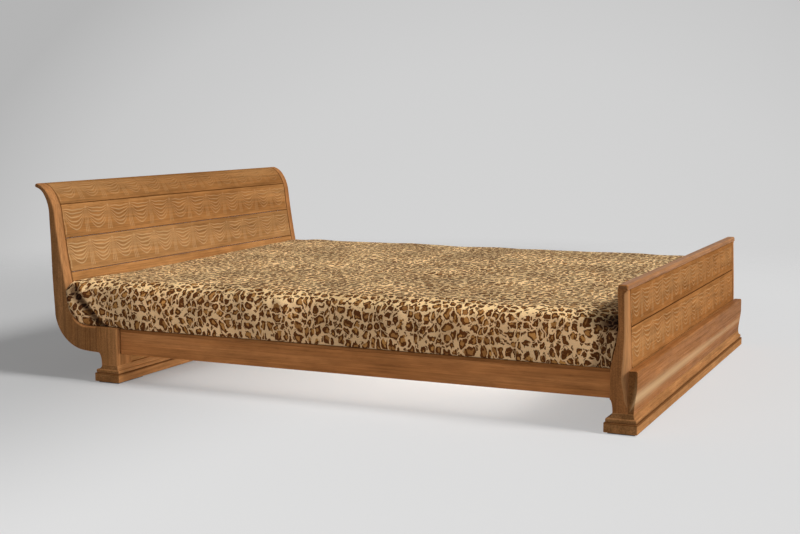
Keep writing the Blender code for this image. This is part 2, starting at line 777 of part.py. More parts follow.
def corner_bracket(end, word, face, inward, rail, post):
    """Angle bracket inside one corner, bolted to the rail and to the post or cross rail at its end."""
    side = SIDES[word]
    bottom = RAIL_BOTTOM + BRACKET_RISE
    middle = bottom + BRACKET_HEIGHT / 2
    thick = BRACKET_THICKNESS
    along_rail, towards_middle = inward, -side
    corner = (face + inward * JOINT_GAP, side * (RAIL_IN - JOINT_GAP))
    angle = [(0, 0), (BRACKET_ARM, 0), (BRACKET_ARM, thick)]
    angle += [(thick, thick), (thick, BRACKET_REACH), (0, BRACKET_REACH)]
    outline = [(corner[0] + along_rail * x, corner[1] + towards_middle * y) for x, y in angle]
    name = f"bracket_{end}_{word}"
    bracket = add_part(
        name, outline_mesh(name, outline, BRACKET_HEIGHT), STEEL, Matrix.Translation((0, 0, middle))
    )
    seat_level = thick + JOINT_GAP
    grip = seat_level + JOINT_GAP
    rail_seat = (
        corner[0] + along_rail * (thick + BRACKET_ARM) / 2,
        corner[1] + towards_middle * seat_level,
        middle,
    )
    post_seat = (
        corner[0] + along_rail * seat_level,
        corner[1] + towards_middle * (thick + BRACKET_REACH) / 2,
        middle,
    )
    add_bolt(f"rail_bolt_{end}_{word}", rail_seat, (0, towards_middle, 0), grip, (bracket, rail))
    add_bolt(f"post_bolt_{end}_{word}", post_seat, (along_rail, 0, 0), grip, (bracket, post))


def spread(value, near_edge):
    """Moves the cage's loops out towards its edges, so that the edges stay firm when it is smoothed."""
    outer_loop = 1 - 1 / MATTRESS_LOOPS
    return np.sign(value) * np.interp(abs(value), [0, outer_loop, 1], [0, near_edge, 1])


def mattress():
    """Fitted mattress: crowned on top, drawn in at its sides, cut to the sweep of head and foot."""
    bottom = SEAT_HEIGHT + MATTRESS_GAP
    half_width = RAIL_OUT + MATTRESS_OVERHANG
    rising = HEAD_PATH[2] > SEAT_RUN - MATCH_DISTANCE
    head_line = HEAD_PATH[0][rising]
    work = bmesh.new()
    bmesh.ops.create_cube(work, size=2.0)
    bmesh.ops.subdivide_edges(work, edges=work.edges, cuts=2 * MATTRESS_LOOPS - 1, use_grid_fill=True)
    for vertex in work.verts:
        u, v, w = (spread(place, near) for place, near in zip(vertex.co, MATTRESS_FIRMNESS))
        level = (w + 1) / 2
        crown = MATTRESS_CROWN * (1 - u * u) * (1 - v * v) * level
        height = bottom + (MATTRESS_HEIGHT - MATTRESS_CROWN) * level + crown
        head_end = np.interp(height, head_line[:, 1], head_line[:, 0]) + MATTRESS_CLEARANCE
        foot_end = foot_inner_at(height) - MATTRESS_CLEARANCE
        half = half_width - MATTRESS_DRAW * (1 - u * u) * abs(w)
        vertex.co = (head_end + (foot_end - head_end) * (u + 1) / 2, half * v, height - SEAT_HEIGHT)
    mesh = bpy.data.meshes.new("mattress")
    work.to_mesh(mesh)
    work.free()
    mesh.shade_smooth()
    pad = add_part("mattress", mesh, VELVET, None, MATTRESS_LIFT)
    smooth = pad.modifiers.new("soft", "SUBSURF")
    smooth.levels = 1
    smooth.render_levels = 1


def build():
    head_stiles()
    head_panel()
    legs = head_legs()
    head_base_rail()
    neck_face = HEAD_LEG_OUT + JOINT_GAP + NECK_DEPTH
    head_heel, head_toe = HEAD_LEG_OUT - HEAD_PLINTH_HEEL, HEAD_LEG_FACE + HEAD_PLINTH_TOE
    end_base("head", head_heel, head_toe, neck_face, HEAD_LEG_FACE)
    foot_stiles()
    foot_boards()
    foot_cap_rail()
    cross_rail = foot_base_rail()
    foot_apron()
    end_base("foot", FOOT_IN - FOOT_PLINTH_TOE, FOOT_PLINTH_OUT, FOOT_IN, APRON_FOOT)
    rails = side_rails()
    slats()
    centre_beam()
    for word in SIDES:
        corner_bracket("head", word, HEAD_LEG_FACE, 1, rails[word], legs[word])
        corner_bracket("foot", word, FOOT_IN, -1, rails[word], cross_rail)
    mattress()


build()
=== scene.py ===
import math

import bpy
import numpy as np
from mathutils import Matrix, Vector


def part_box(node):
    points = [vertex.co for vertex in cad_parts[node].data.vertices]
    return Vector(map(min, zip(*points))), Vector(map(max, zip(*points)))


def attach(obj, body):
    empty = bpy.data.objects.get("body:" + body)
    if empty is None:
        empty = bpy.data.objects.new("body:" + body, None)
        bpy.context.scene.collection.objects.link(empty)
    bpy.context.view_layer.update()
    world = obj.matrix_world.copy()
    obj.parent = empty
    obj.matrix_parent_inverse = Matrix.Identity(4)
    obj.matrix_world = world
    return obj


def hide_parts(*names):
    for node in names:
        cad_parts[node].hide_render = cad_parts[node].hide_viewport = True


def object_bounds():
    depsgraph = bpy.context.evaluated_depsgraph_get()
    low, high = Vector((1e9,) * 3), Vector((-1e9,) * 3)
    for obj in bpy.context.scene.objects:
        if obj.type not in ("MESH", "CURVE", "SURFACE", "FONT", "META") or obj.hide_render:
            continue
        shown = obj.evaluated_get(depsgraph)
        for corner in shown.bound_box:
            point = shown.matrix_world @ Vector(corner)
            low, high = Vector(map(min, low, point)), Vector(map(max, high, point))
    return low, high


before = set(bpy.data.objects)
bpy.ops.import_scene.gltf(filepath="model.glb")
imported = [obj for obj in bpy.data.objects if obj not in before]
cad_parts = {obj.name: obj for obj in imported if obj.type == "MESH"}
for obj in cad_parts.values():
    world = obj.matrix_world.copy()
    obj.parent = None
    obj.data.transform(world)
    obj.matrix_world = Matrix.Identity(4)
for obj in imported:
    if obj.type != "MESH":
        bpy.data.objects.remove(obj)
cadLow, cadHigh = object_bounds()
print("frame:", len(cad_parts), "nodes")

sideSigns = {"left": -1, "right": 1}
madePieces = []
jointDark = 0.9        # how dark a joint is drawn
halfGap = 0.00015      # half the gap between two boards
seamOverlap = 0.0009   # legs and stiles reach this far into the base moulding, so that no seam shows


def span(node):
    low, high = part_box(node)
    return np.array(low), np.array(high)


def smoothStep(value):
    part = np.clip(value, 0, 1)
    return part * part * (3 - 2 * part)


# From 0 up to 1 past a start, and from 1 down to 0 before an end, over a way
def risen(value, start, over):
    return smoothStep((value - start) / over)


def fallen(value, end, over):
    return smoothStep((end - value) / over)


def bell(value, width):
    return np.exp(-((value / width) ** 2))


def linked(name, data):
    obj = bpy.data.objects.new(name, data)
    bpy.context.scene.collection.objects.link(obj)
    return obj


# A mesh from points and groups of faces, one array of corner numbers for each size of face.
# The sum of corner triple products gives the signed volume, and a negative one turns all faces round.
def meshFrom(name, points, groups):
    volume = 0.0
    for group in groups:
        for corner in range(1, group.shape[1] - 1):
            wedge = np.cross(points[group[:, corner]], points[group[:, corner + 1]])
            volume += np.einsum("ij,ij->", points[group[:, 0]], wedge)
    if volume < 0:
        groups = [group[:, ::-1] for group in groups]
    sizes = np.concatenate([np.full(len(group), group.shape[1]) for group in groups])
    corners = np.concatenate([group.ravel() for group in groups])
    mesh = bpy.data.meshes.new(name)
    mesh.vertices.add(len(points))
    mesh.vertices.foreach_set("co", points.astype(np.float32).ravel())
    mesh.loops.add(len(corners))
    mesh.polygons.add(len(sizes))
    mesh.polygons.foreach_set("loop_start", (np.cumsum(sizes) - sizes).astype(np.int32))
    mesh.polygons.foreach_set("vertices", corners.astype(np.int32))
    mesh.update(calc_edges=True)
    mesh.shade_smooth()
    return mesh


# A closed skin over rings of equal count: quads from each ring to the next, and a flat face on both ends
def skinOver(name, rings):
    count, size = rings.shape[:2]
    index = np.arange(count * size).reshape(count, size)
    after = np.roll(index, -1, axis=1)
    quads = np.stack([index[:-1], after[:-1], after[1:], index[1:]], axis=-1).reshape(-1, 4)
    ends = np.stack([index[0][::-1], index[-1]])
    return meshFrom(name, rings.reshape(-1, 3), [quads, ends])


def addFloats(mesh, name, values):
    layer = mesh.attributes.new(name, "FLOAT", "POINT")
    layer.data.foreach_set("value", np.broadcast_to(values, len(mesh.vertices)).astype(np.float32))


# A finished piece: it stands for its CAD node, rides on its body and has a tone of its own
def addPiece(node, mesh, material, body="bedstead"):
    piece = linked(node.replace("_", "-"), mesh)
    mesh.materials.append(material)
    addFloats(mesh, "tone", len(madePieces) * 0.618 % 1)
    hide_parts(node)
    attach(piece, body)
    madePieces.append(piece)
    return piece


# A wooden piece from its rings; carve is the attribute that limes or darkens its points
def addWood(node, rings, material, carve=None):
    mesh = skinOver(node, rings)
    if carve is not None:
        addFloats(mesh, "carve", carve.ravel())
    addPiece(node, mesh, material)


# Each corner of a closed outline becomes an arc: it starts radius * tan(turn / 2) before the corner and
# bends by the turn there. A point beside each end of the arc keeps the flat sides flat. Radius 0 leaves a
# point as it is.
def softCorners(points, radius, steps=4, margin=0.001):
    points = np.asarray(points, float)
    radius = np.broadcast_to(np.asarray(radius, float), len(points))
    before = points - np.roll(points, 1, axis=0)
    after = np.roll(points, -1, axis=0) - points
    before = before / np.linalg.norm(before, axis=1, keepdims=True)
    after = after / np.linalg.norm(after, axis=1, keepdims=True)
    cross = before[:, 0] * after[:, 1] - before[:, 1] * after[:, 0]
    turn = np.arctan2(cross, (before * after).sum(axis=1))
    reach = radius * np.tan(np.abs(turn) / 2)
    left = np.column_stack([-before[:, 1], before[:, 0]]) * np.sign(turn)[:, None]
    bend = np.abs(turn)[:, None] * np.linspace(0, 1, steps + 1)
    forward = reach[:, None] - radius[:, None] * np.sin(bend)
    sideways = radius[:, None] * (1 - np.cos(bend))
    arc = points[:, None] - before[:, None] * forward[..., None] + left[:, None] * sideways[..., None]
    lead = points - before * (reach + margin)[:, None]
    trail = points + after * (reach + margin)[:, None]
    full = np.concatenate([lead[:, None], arc, trail[:, None]], axis=1)
    keep = np.broadcast_to((radius > 0)[:, None], full.shape[:2]).copy()
    keep[:, 1] = True
    return full[keep]


# Unit vectors into a closed outline at its points: the mitre of the two sides that meet there
def inwardOf(outline):
    after = np.roll(outline, -1, axis=0)
    area = (outline[:, 0] * after[:, 1] - outline[:, 1] * after[:, 0]).sum()
    side = (after - outline) / np.linalg.norm(after - outline, axis=1, keepdims=True)
    normal = np.column_stack([-side[:, 1], side[:, 0]]) * np.sign(area)
    both = normal + np.roll(normal, 1, axis=0)
    return 2 * both / np.maximum((both * both).sum(axis=1, keepdims=True), 0.5)


# An outline carried along an axis with rounded ends: at a turn t a ring lies r (1 - sin t) short of the
# end and r (1 - cos t) inside the outline. The ends' radii may differ from point to point. A shape above 1
# raises the sine and cosine to that power, which flattens the round towards a chamfer.
def barRings(outline, axis, low, high, roundLow, roundHigh, between=(), steps=4, shape=1.0):
    margin, capInset = 0.001, 0.0001
    turns = np.linspace(math.pi / 2, 0, steps + 1)[:, None]
    zero = np.zeros((1, len(outline)))

    def end(radius):
        radius = np.broadcast_to(radius, len(outline))
        short = np.concatenate([zero, radius * (1 - np.sin(turns) ** shape), zero + radius + margin])
        inset = np.concatenate([zero + radius + capInset, radius * (1 - np.cos(turns) ** shape), zero])
        return short, inset

    shortLow, insetLow = end(roundLow)
    shortHigh, insetHigh = end(roundHigh)
    middle = np.asarray(between, float).reshape(-1, 1) + zero
    places = np.concatenate([low + shortLow, middle, (high - shortHigh)[::-1]])
    insets = np.concatenate([insetLow, middle * 0, insetHigh[::-1]])
    flat = outline[None] + inwardOf(outline)[None] * insets[..., None]
    return np.insert(flat, axis, places, axis=2)


# Points added along the sides of a closed outline, so that no side is longer than a step
def closeSpaced(points, rounds, step=0.006):
    points = np.asarray(points, float)
    side = np.roll(points, -1, axis=0) - points
    count = np.maximum(1, np.ceil(np.linalg.norm(side, axis=1) / step).astype(int))
    first = np.repeat(np.arange(len(points)), count)
    part = (np.arange(count.sum()) - np.repeat(np.cumsum(count) - count, count)) / np.repeat(count, count)
    kept = np.where(part == 0, np.asarray(rounds, float)[first], 0.0)
    return points[first] + side[first] * part[:, None], kept


# Radii that fall off towards sharp corners, to less than the corner's own radius, so that the rounded edges
# of two sides don't cross there
def easedRound(outline, wanted, corners, cornerRound):
    share, slope, start = 0.4, 0.9, 0.0012
    away = np.linalg.norm(outline[:, None] - np.asarray(corners, float)[None], axis=-1).min(axis=1)
    return np.minimum(wanted, share * cornerRound + slope * np.maximum(away - start, 0))


def rectangle(left, right, bottom, top):
    return np.array([(left, bottom), (right, bottom), (right, top), (left, top)])


# Node helpers: a node with its settings and its inputs, given as values or as sockets to link
def addNode(tree, kind, inputs=None, **settings):
    node = tree.nodes.new("ShaderNode" + kind)
    for key, value in settings.items():
        setattr(node, key, value)
    for key, value in (inputs or {}).items():
        socket = node.inputs[key]
        if isinstance(value, bpy.types.NodeSocket):
            tree.links.new(value, socket)
        else:
            socket.default_value = (*value, 1) if socket.type == "RGBA" else value
    return node


def newMaterial(name, **sockets):
    material = bpy.data.materials.new(name)
    material.use_nodes = True
    shader = material.node_tree.nodes["Principled BSDF"]
    for key, value in sockets.items():
        shader.inputs[key.replace("_", " ")].default_value = value
    return material, material.node_tree, shader


def rampOf(tree, factor, stops):
    node = addNode(tree, "ValToRGB", {"Fac": factor})
    elements = node.color_ramp.elements
    while len(elements) < len(stops):
        elements.new(0.5)
    for element, (place, colour) in zip(elements, stops):
        element.position = place
        element.color = (*colour, 1) if isinstance(colour, tuple) else (colour, colour, colour, 1)
    return node.outputs["Color"]


def mathOf(tree, operation, first, second=0.0):
    return addNode(tree, "Math", {0: first, 1: second}, operation=operation).outputs[0]


def vectorOf(tree, operation, inputs, output=0):
    return addNode(tree, "VectorMath", inputs, operation=operation).outputs[output]


def mixOf(tree, blend, factor, first, second):
    settings = {"data_type": "RGBA", "blend_type": blend, "clamp_result": False}
    return addNode(tree, "Mix", {0: factor, 6: first, 7: second}, **settings).outputs[2]


def noiseOf(tree, vector, scale, detail, distortion=0.0, dimensions="3D", output="Fac"):
    inputs = {"Vector": vector, "Scale": scale, "Detail": detail, "Distortion": distortion}
    return addNode(tree, "TexNoise", inputs, noise_dimensions=dimensions).outputs[output]


def rangeOf(tree, value, start, end, low=0.0, high=1.0, form="SMOOTHSTEP"):
    inputs = {"Value": value, "From Min": start, "From Max": end, "To Min": low, "To Max": high}
    return addNode(tree, "MapRange", inputs, interpolation_type=form).outputs[0]


def objectPlace(tree):
    return addNode(tree, "TexCoord").outputs["Object"]


def attributeOf(tree, name):
    return addNode(tree, "Attribute", attribute_name=name).outputs["Fac"]


def normalPart(tree, axis):
    normal = addNode(tree, "NewGeometry").outputs["Normal"]
    return addNode(tree, "SeparateXYZ", {0: normal}).outputs[axis]


# A place drawn out along the grain: the first scale is the cycles a metre along it, the second those across
def alongGrain(tree, place, along, scales):
    stretch = [scales[0] if axis == along else scales[1] for axis in range(3)]
    return addNode(tree, "Mapping", {"Vector": place, "Scale": stretch}).outputs[0]


# The colour, the bump as its height, strength and distance, and the roughness joined to the shader
def joinShader(tree, shader, colour, bump, rough=None):
    height, strength, distance = bump
    raised = addNode(tree, "Bump", {"Strength": strength, "Distance": distance, "Height": height})
    tree.links.new(colour, shader.inputs["Base Color"])
    tree.links.new(raised.outputs[0], shader.inputs["Normal"])
    if rough:
        tree.links.new(rough, shader.inputs["Roughness"])


oakLook = {
    "figure": ((0.28, (0.300, 0.130, 0.040)), (0.50, (0.390, 0.178, 0.058)), (0.74, (0.470, 0.235, 0.085))),
    "streak": ((0.25, 0.68), (0.52, 1.0), (0.78, 1.24)),
    "patch": ((0.30, 0.84), (0.70, 1.16)),
    "dash": ((0.30, 1.0), (0.38, 0.0)),
    "dashShare": 0.40,
    "dashDepth": 0.6,
    "pore": (0.115, 0.042, 0.012),
    # lime colour, also used for painted highlights
    "paleLimeAndHighlight": (0.62, 0.40, 0.20),
    "toneLevels": (0.94, 1.06),
    "toneShift": (3.1, 5.7, 1.9),
    "sidewaysShade": ((0.78, 0.0), (0.985, 1.0)),   # painted shade, by how far a face looks sideways
    "fleck": ((0.34, 0.80), (0.50, 1.0), (0.68, 1.25)),
    "figureScale": (0.8, 11.0),   # cycles a metre along and across the grain
    "streakScale": (3.5, 210.0),
    "poreScale": (30.0, 950.0),
    "patchScale": (9.0, 34.0),
    "fleckScale": 380.0,
    "bump": (0.5, 0.0005),
}


# Limed oak: broad bands, patches and fine streaks are noises drawn out along the grain, dark pores are
# thresholded short dashes. Sideways faces get a painted shade and flecks. The attribute carve limes carved
# crests and paints highlights, above 0, and darkens grooves, joints and some faces, below 0.
def oakMaterial(name, along, tint=(1.0, 1.0, 1.0), side=1.0, limeAndHighlight=0.50, cut=0.82, rough=0.55, gloss=0.0):
    look = oakLook
    material, tree, shader = newMaterial(name, Specular_IOR_Level=gloss)
    tone = attributeOf(tree, "tone")
    offset = vectorOf(tree, "SCALE", {0: look["toneShift"], "Scale": tone})
    moved = vectorOf(tree, "ADD", {0: objectPlace(tree), 1: offset})

    def grain(scales, detail, distortion):
        return noiseOf(tree, alongGrain(tree, moved, along, scales), 1.0, detail, distortion)

    def times(colour, factor, share=1.0):
        return mixOf(tree, "MULTIPLY", share, colour, factor)

    streak = grain(look["streakScale"], 4.0, 0.2)
    colour = rampOf(tree, grain(look["figureScale"], 3.0, 0.5), look["figure"])
    colour = times(colour, rampOf(tree, streak, look["streak"]))
    colour = times(colour, rampOf(tree, grain(look["patchScale"], 4.0, 0.4), look["patch"]))
    low, high = (tuple(part * level for part in tint) for level in look["toneLevels"])
    colour = times(colour, rampOf(tree, tone, [(0.0, low), (1.0, high)]))
    dash = rampOf(tree, grain(look["poreScale"], 1.0, 0.0), look["dash"])
    colour = mixOf(tree, "MIX", mathOf(tree, "MULTIPLY", dash, look["dashShare"]), colour, look["pore"])
    # painted shade on faces that look sideways, at the level side, with flecks in it
    if side != 1.0:
        sidewaysShade = rampOf(tree, mathOf(tree, "ABSOLUTE", normalPart(tree, "Y")), look["sidewaysShade"])
        fleck = noiseOf(tree, moved, look["fleckScale"], 3.0)
        levels = [(place, level * side) for place, level in look["fleck"]]
        colour = times(colour, rampOf(tree, fleck, levels), sidewaysShade)
    carve = attributeOf(tree, "carve")
    # lime on carved crests, and painted highlights, where carve is above 0
    crest = mathOf(tree, "MULTIPLY", mathOf(tree, "MAXIMUM", carve, 0.0), limeAndHighlight)
    groove = mathOf(tree, "MULTIPLY", mathOf(tree, "MINIMUM", carve, 0.0), -cut)
    colour = mixOf(tree, "MIX", crest, colour, look["paleLimeAndHighlight"])
    colour = mixOf(tree, "MIX", groove, colour, look["pore"])
    height = mathOf(tree, "SUBTRACT", streak, mathOf(tree, "MULTIPLY", dash, look["dashDepth"]))
    roughness = rampOf(tree, streak, [(0.3, rough + 0.1), (0.7, rough - 0.06)])
    joinShader(tree, shader, colour, (height, *look["bump"]), roughness)
    return material


beechLook = {
    "band": ((0.3, (0.46, 0.29, 0.14)), (0.7, (0.62, 0.44, 0.25))),
    "dash": ((0.30, 0.5), (0.38, 0.0)),
    "fleck": (0.33, 0.19, 0.09),
    "bandScale": (1.2, 22.0),
    "fleckScale": (60.0, 700.0),
    "bump": (0.3, 0.0004),
}


# Plain beech: a faint band noise along the grain and the short dark flecks of the wood
def beechMaterial(name, along):
    look = beechLook
    material, tree, shader = newMaterial(name, Roughness=0.6)
    place = objectPlace(tree)
    band = noiseOf(tree, alongGrain(tree, place, along, look["bandScale"]), 1.0, 4.0)
    fleck = noiseOf(tree, alongGrain(tree, place, along, look["fleckScale"]), 1.0, 1.0)
    dash = rampOf(tree, fleck, look["dash"])
    colour = mixOf(tree, "MIX", dash, rampOf(tree, band, look["band"]), look["fleck"])
    joinShader(tree, shader, colour, (band, *look["bump"]))
    return material


steelLook = {
    "paint": ((0.5, (0.035, 0.035, 0.038)), (0.72, (0.11, 0.105, 0.10))),   # painted, then worn
    "rough": ((0.4, 0.5), (0.8, 0.34)),
    "patchScale": 90.0,
    "peelScale": 900.0,
    "bump": (0.25, 0.0002),
}


# Black painted steel: a fine orange-peel bump, with worn patches from a coarse noise
def steelMaterial():
    look = steelLook
    material, tree, shader = newMaterial("blackSteel")
    place = objectPlace(tree)
    patch = noiseOf(tree, place, look["patchScale"], 5.0)
    peel = noiseOf(tree, place, look["peelScale"], 1.0)
    colour = rampOf(tree, patch, look["paint"])
    joinShader(tree, shader, colour, (peel, *look["bump"]), rampOf(tree, patch, look["rough"]))
    return material


feltLook = {
    "fibre": ((0.3, (0.022, 0.017, 0.013)), (0.7, (0.06, 0.047, 0.037))),
    "scale": 1400.0,
    "bump": (0.6, 0.0006),
}


# Pressed felt: dense fibres from a fine noise, in colour and in bump
def feltMaterial():
    material, tree, shader = newMaterial("brownFelt", Roughness=0.95)
    fibre = noiseOf(tree, objectPlace(tree), feltLook["scale"], 4.0)
    joinShader(tree, shader, rampOf(tree, fibre, feltLook["fibre"]), (fibre, *feltLook["bump"]))
    return material


coverLook = {
    "ground": ((0.3, (0.61, 0.385, 0.195)), (0.7, (0.76, 0.50, 0.265))),
    "topLight": (1.32, 1.42, 1.36),   # painted light: by which the ground is lighter on top
    "onTop": ((0.3, 0.0), (0.9, 1.0)),
    "ring": ((0.3, (0.068, 0.018, 0.003)), (0.75, (0.140, 0.046, 0.009))),
    "centre": ((0.27, 0.115, 0.032), (0.46, 0.215, 0.058)),
    "rosettes": 39.0,   # to the metre
    "specks": 62.0,
    "wander": ((13.0, 0.009), (70.0, 0.0040)),   # bends to the metre and their reach
    "radius": (0.32, 0.54),
    "ringWidth": 0.315,
    "between": 0.075,   # ground left between two cells
    "gap": (62.0, 0.60, 0.25, 0.85),   # gaps in the rings: scale, threshold, share without any, strength
    "speckRoom": 0.07,
    "speckSize": 0.26,
    "blur": 0.05,
    "pile": ((0.25, 0.82), (0.75, 1.14)),
    "nap": ((0.32, 0.80), (0.68, 1.20)),   # brushed this way and that
    "shadeScale": 6.0,
    "napScale": 5.0,
    "fuzzScale": 420.0,
    "shadeColour": (0.10, 0.07, 0.06),   # painted shade of the tucks, corners and lower edge
    "bump": (0.5, 0.0010),
}


# Spotted velvet on the unfolded cover: one rosette to a cell of a wandering Voronoi net. By the distance r
# from the cell's point there is a tawny middle, a dark ring with gaps and then the pale ground, with dark
# specks between.
def coverMaterial():
    look = coverLook
    material, tree, shader = newMaterial("spottedVelvet", Roughness=0.95, Specular_IOR_Level=0.15)
    place = addNode(tree, "UVMap", uv_map="print").outputs["UV"]

    def noise(scale, detail, output="Fac"):
        return noiseOf(tree, place, scale, detail, dimensions="2D", output=output)

    def cells(scale, feature, randomness):
        inputs = {"Vector": moved, "Scale": scale, "Randomness": randomness}
        return addNode(tree, "TexVoronoi", inputs, voronoi_dimensions="2D", feature=feature).outputs

    def rising(value, start):
        return rangeOf(tree, value, start, mathOf(tree, "ADD", start, look["blur"]))

    def falling(value, start):
        return mathOf(tree, "SUBTRACT", 1.0, rising(value, start))

    moved = place
    for scale, reach in look["wander"]:
        centred = vectorOf(tree, "SUBTRACT", {0: noise(scale, 2.0, "Color"), 1: (0.5, 0.5, 0.5)})
        drift = vectorOf(tree, "SCALE", {0: centred, "Scale": 4 * reach})
        moved = vectorOf(tree, "ADD", {0: moved, 1: drift})
    rosette = cells(look["rosettes"], "F1", 0.75)
    edge = cells(look["rosettes"], "DISTANCE_TO_EDGE", 0.75)["Distance"]
    speck = cells(look["specks"], "F1", 0.9)["Distance"]
    pick = addNode(tree, "SeparateXYZ", {0: rosette["Color"]}).outputs
    away = rosette["Distance"]
    radius = rangeOf(tree, pick["X"], 0.0, 1.0, *look["radius"], form="LINEAR")
    outside = mathOf(tree, "MAXIMUM", rising(away, radius), falling(edge, look["between"]))
    inside = falling(away, mathOf(tree, "SUBTRACT", radius, look["ringWidth"]))
    gapScale, gapStart, gapless, gapShare = look["gap"]
    gap = rising(noise(gapScale, 1.0), gapStart)
    gap = mathOf(tree, "MULTIPLY", gap, mathOf(tree, "GREATER_THAN", pick["Y"], gapless))
    clear = rising(away, mathOf(tree, "ADD", radius, look["speckRoom"]))
    clear = mathOf(tree, "MULTIPLY", clear, rising(edge, -0.02))
    dot = mathOf(tree, "MULTIPLY", falling(speck, look["speckSize"]), clear)
    fuzz = noise(look["fuzzScale"], 3.0)
    ground = rampOf(tree, noise(look["shadeScale"], 3.0), look["ground"])
    # painted light: the ground is made lighter on faces that look up
    onTop = rampOf(tree, normalPart(tree, "Z"), look["onTop"])
    ground = mixOf(tree, "MULTIPLY", onTop, ground, look["topLight"])
    ring = rampOf(tree, fuzz, look["ring"])
    centre = mixOf(tree, "MIX", pick["Z"], *look["centre"])
    tawny = mathOf(tree, "MAXIMUM", inside, mathOf(tree, "MULTIPLY", gap, gapShare))
    colour = mixOf(tree, "MIX", outside, mixOf(tree, "MIX", tawny, ring, centre), ground)
    colour = mixOf(tree, "MIX", dot, colour, ring)
    colour = mixOf(tree, "MULTIPLY", 1.0, colour, rampOf(tree, fuzz, look["pile"]))
    colour = mixOf(tree, "MULTIPLY", 1.0, colour, rampOf(tree, noise(look["napScale"], 3.0), look["nap"]))
    # painted shade where the attribute fold is set
    colour = mixOf(tree, "MULTIPLY", attributeOf(tree, "fold"), colour, look["shadeColour"])
    joinShader(tree, shader, colour, (fuzz, *look["bump"]))
    return material


# Each oak's grain runs along one axis, and the stain and polish differ from piece to piece. side is the
# level of the painted shade on faces that look sideways.
oakKinds = {
    "oakAcross": {"along": 1},
    "oakBase": {"along": 1, "tint": (1.0, 1.0, 1.12), "side": 0.57},
    "oakPolished": {
        "along": 1, "tint": (0.98, 0.86, 0.80), "side": 0.42, "limeAndHighlight": 0.85, "rough": 0.40, "gloss": 0.012
    },
    "oakCap": {"along": 1, "tint": (0.95, 0.86, 0.80), "side": 0.55, "rough": 0.38, "gloss": 0.08},
    "oakLengthwise": {"along": 0, "tint": (0.97, 0.84, 0.84)},
    # rail caps: a darker tint as painted shadow of the mattress above
    "oakStripShaded": {"along": 0, "tint": (0.70, 0.60, 0.58)},
    "oakUpright": {"along": 2, "tint": (1.0, 0.96, 1.05), "side": 0.55},
    "oakPost": {"along": 2, "tint": (1.08, 0.98, 1.04), "side": 0.70},
    "oakLeg": {"along": 2, "tint": (1.0, 0.98, 1.08), "side": 0.76},
    "oakCarved": {"along": 1},
    "oakLower": {"along": 1, "tint": (0.98, 1.07, 1.19), "limeAndHighlight": 0.66, "cut": 1.0},
    # top board: a darker tint as painted shade on its upward-facing curl
    "oakCurlShaded": {"along": 1, "tint": (0.75, 0.73, 0.71), "limeAndHighlight": 0.28},
    "oakFoot": {"along": 1, "tint": (0.90, 0.81, 0.74), "limeAndHighlight": 0.42, "cut": 1.5},
}
woods = {name: oakMaterial(name, **settings) for name, settings in oakKinds.items()}
woods["beechAcross"] = beechMaterial("beechAcross", 1)
woods["beechLengthwise"] = beechMaterial("beechLengthwise", 0)
blackSteel = steelMaterial()
brownFelt = feltMaterial()
spottedVelvet = coverMaterial()
print("materials done")


# A line of straights and arcs: the heading is linear along each stretch, and the place is its running
# integral
def walkLine(start, heading, stretches, samples=6001):
    lengths, turns = np.transpose(stretches)
    ends = np.concatenate([[0], np.cumsum(lengths)])
    walked = np.linspace(0, ends[-1], samples)
    aim = np.interp(walked, ends, heading + np.concatenate([[0], np.cumsum(turns)]))
    middle = (aim[1:] + aim[:-1]) / 2
    x = start[0] + np.concatenate([[0], np.cumsum(np.cos(middle) * np.diff(walked))])
    z = start[1] + np.concatenate([[0], np.cumsum(np.sin(middle) * np.diff(walked))])
    return {"ends": ends, "walked": walked, "aim": aim, "x": x, "z": z}


# Points that lie a depth to the left of a line at given stations
def onLine(line, station, depth=0.0):
    x, z, aim = (np.interp(station, line["walked"], line[key]) for key in ("x", "z", "aim"))
    return np.column_stack([x - np.sin(aim) * depth, z + np.cos(aim) * depth])


def stationAt(line, height):
    return float(np.interp(height, line["z"], line["walked"]))


headForm = {
    "seatRun": 0.0505, "coveRadius": 0.060, "leanLow": 12.8, "leanHigh": 7, "curlLead": 0.029,
    "curlRadiusLow": 0.150, "curlLeanMiddle": 40, "curlRadiusHigh": 0.070, "curlLeanEnd": 79,
    "depthCove": 0.071, "depthWaist": 0.0335, "depthCurl": 0.026, "depthTip": 0.013, "depthEasing": 0.040,
    "lineHeight": 0.369, "boardHeight": 0.117, "boardThickness": 0.018, "lipRoom": 0.02,
}
stileLow, stileHigh = span("head_stile_right")
legLow, legHigh = span("head_leg_right")
seatHeight, bellyHeight = legHigh[2], stileLow[2]
stileIn, stileOut = stileLow[1], stileHigh[1]


# Face line of the head: back along the seat, up the cove, up the leaning back, round the curl in two arcs
def headFace():
    form = headForm
    leanLow, leanHigh = math.radians(form["leanLow"]), math.radians(form["leanHigh"])
    leanMiddle, leanEnd = math.radians(form["curlLeanMiddle"]), math.radians(form["curlLeanEnd"])
    coveTurn = math.pi / 2 - leanLow
    coveTop = seatHeight + form["coveRadius"] * (1 - math.cos(coveTurn))
    curlHeight = form["lineHeight"] + 2 * form["boardHeight"] - form["curlLead"]
    first, turn = math.pi / 2 + leanLow, leanHigh - leanLow
    backRun = (curlHeight - coveTop) * turn / (math.cos(first) - math.cos(first + turn))
    stretches = [
        (form["seatRun"], 0.0),
        (form["coveRadius"] * coveTurn, -coveTurn),
        (backRun, turn),
        (form["curlRadiusLow"] * (leanMiddle - leanHigh), leanMiddle - leanHigh),
        (form["curlRadiusHigh"] * (leanEnd - leanMiddle), leanEnd - leanMiddle),
        (form["lipRoom"], 0.0),   # straight on, for the rounded lip
    ]
    return walkLine((stileHigh[0], seatHeight), math.pi, stretches)


headLine = headFace()
coveEnd, curlStart, headTip = headLine["ends"][[2, 3, 5]]


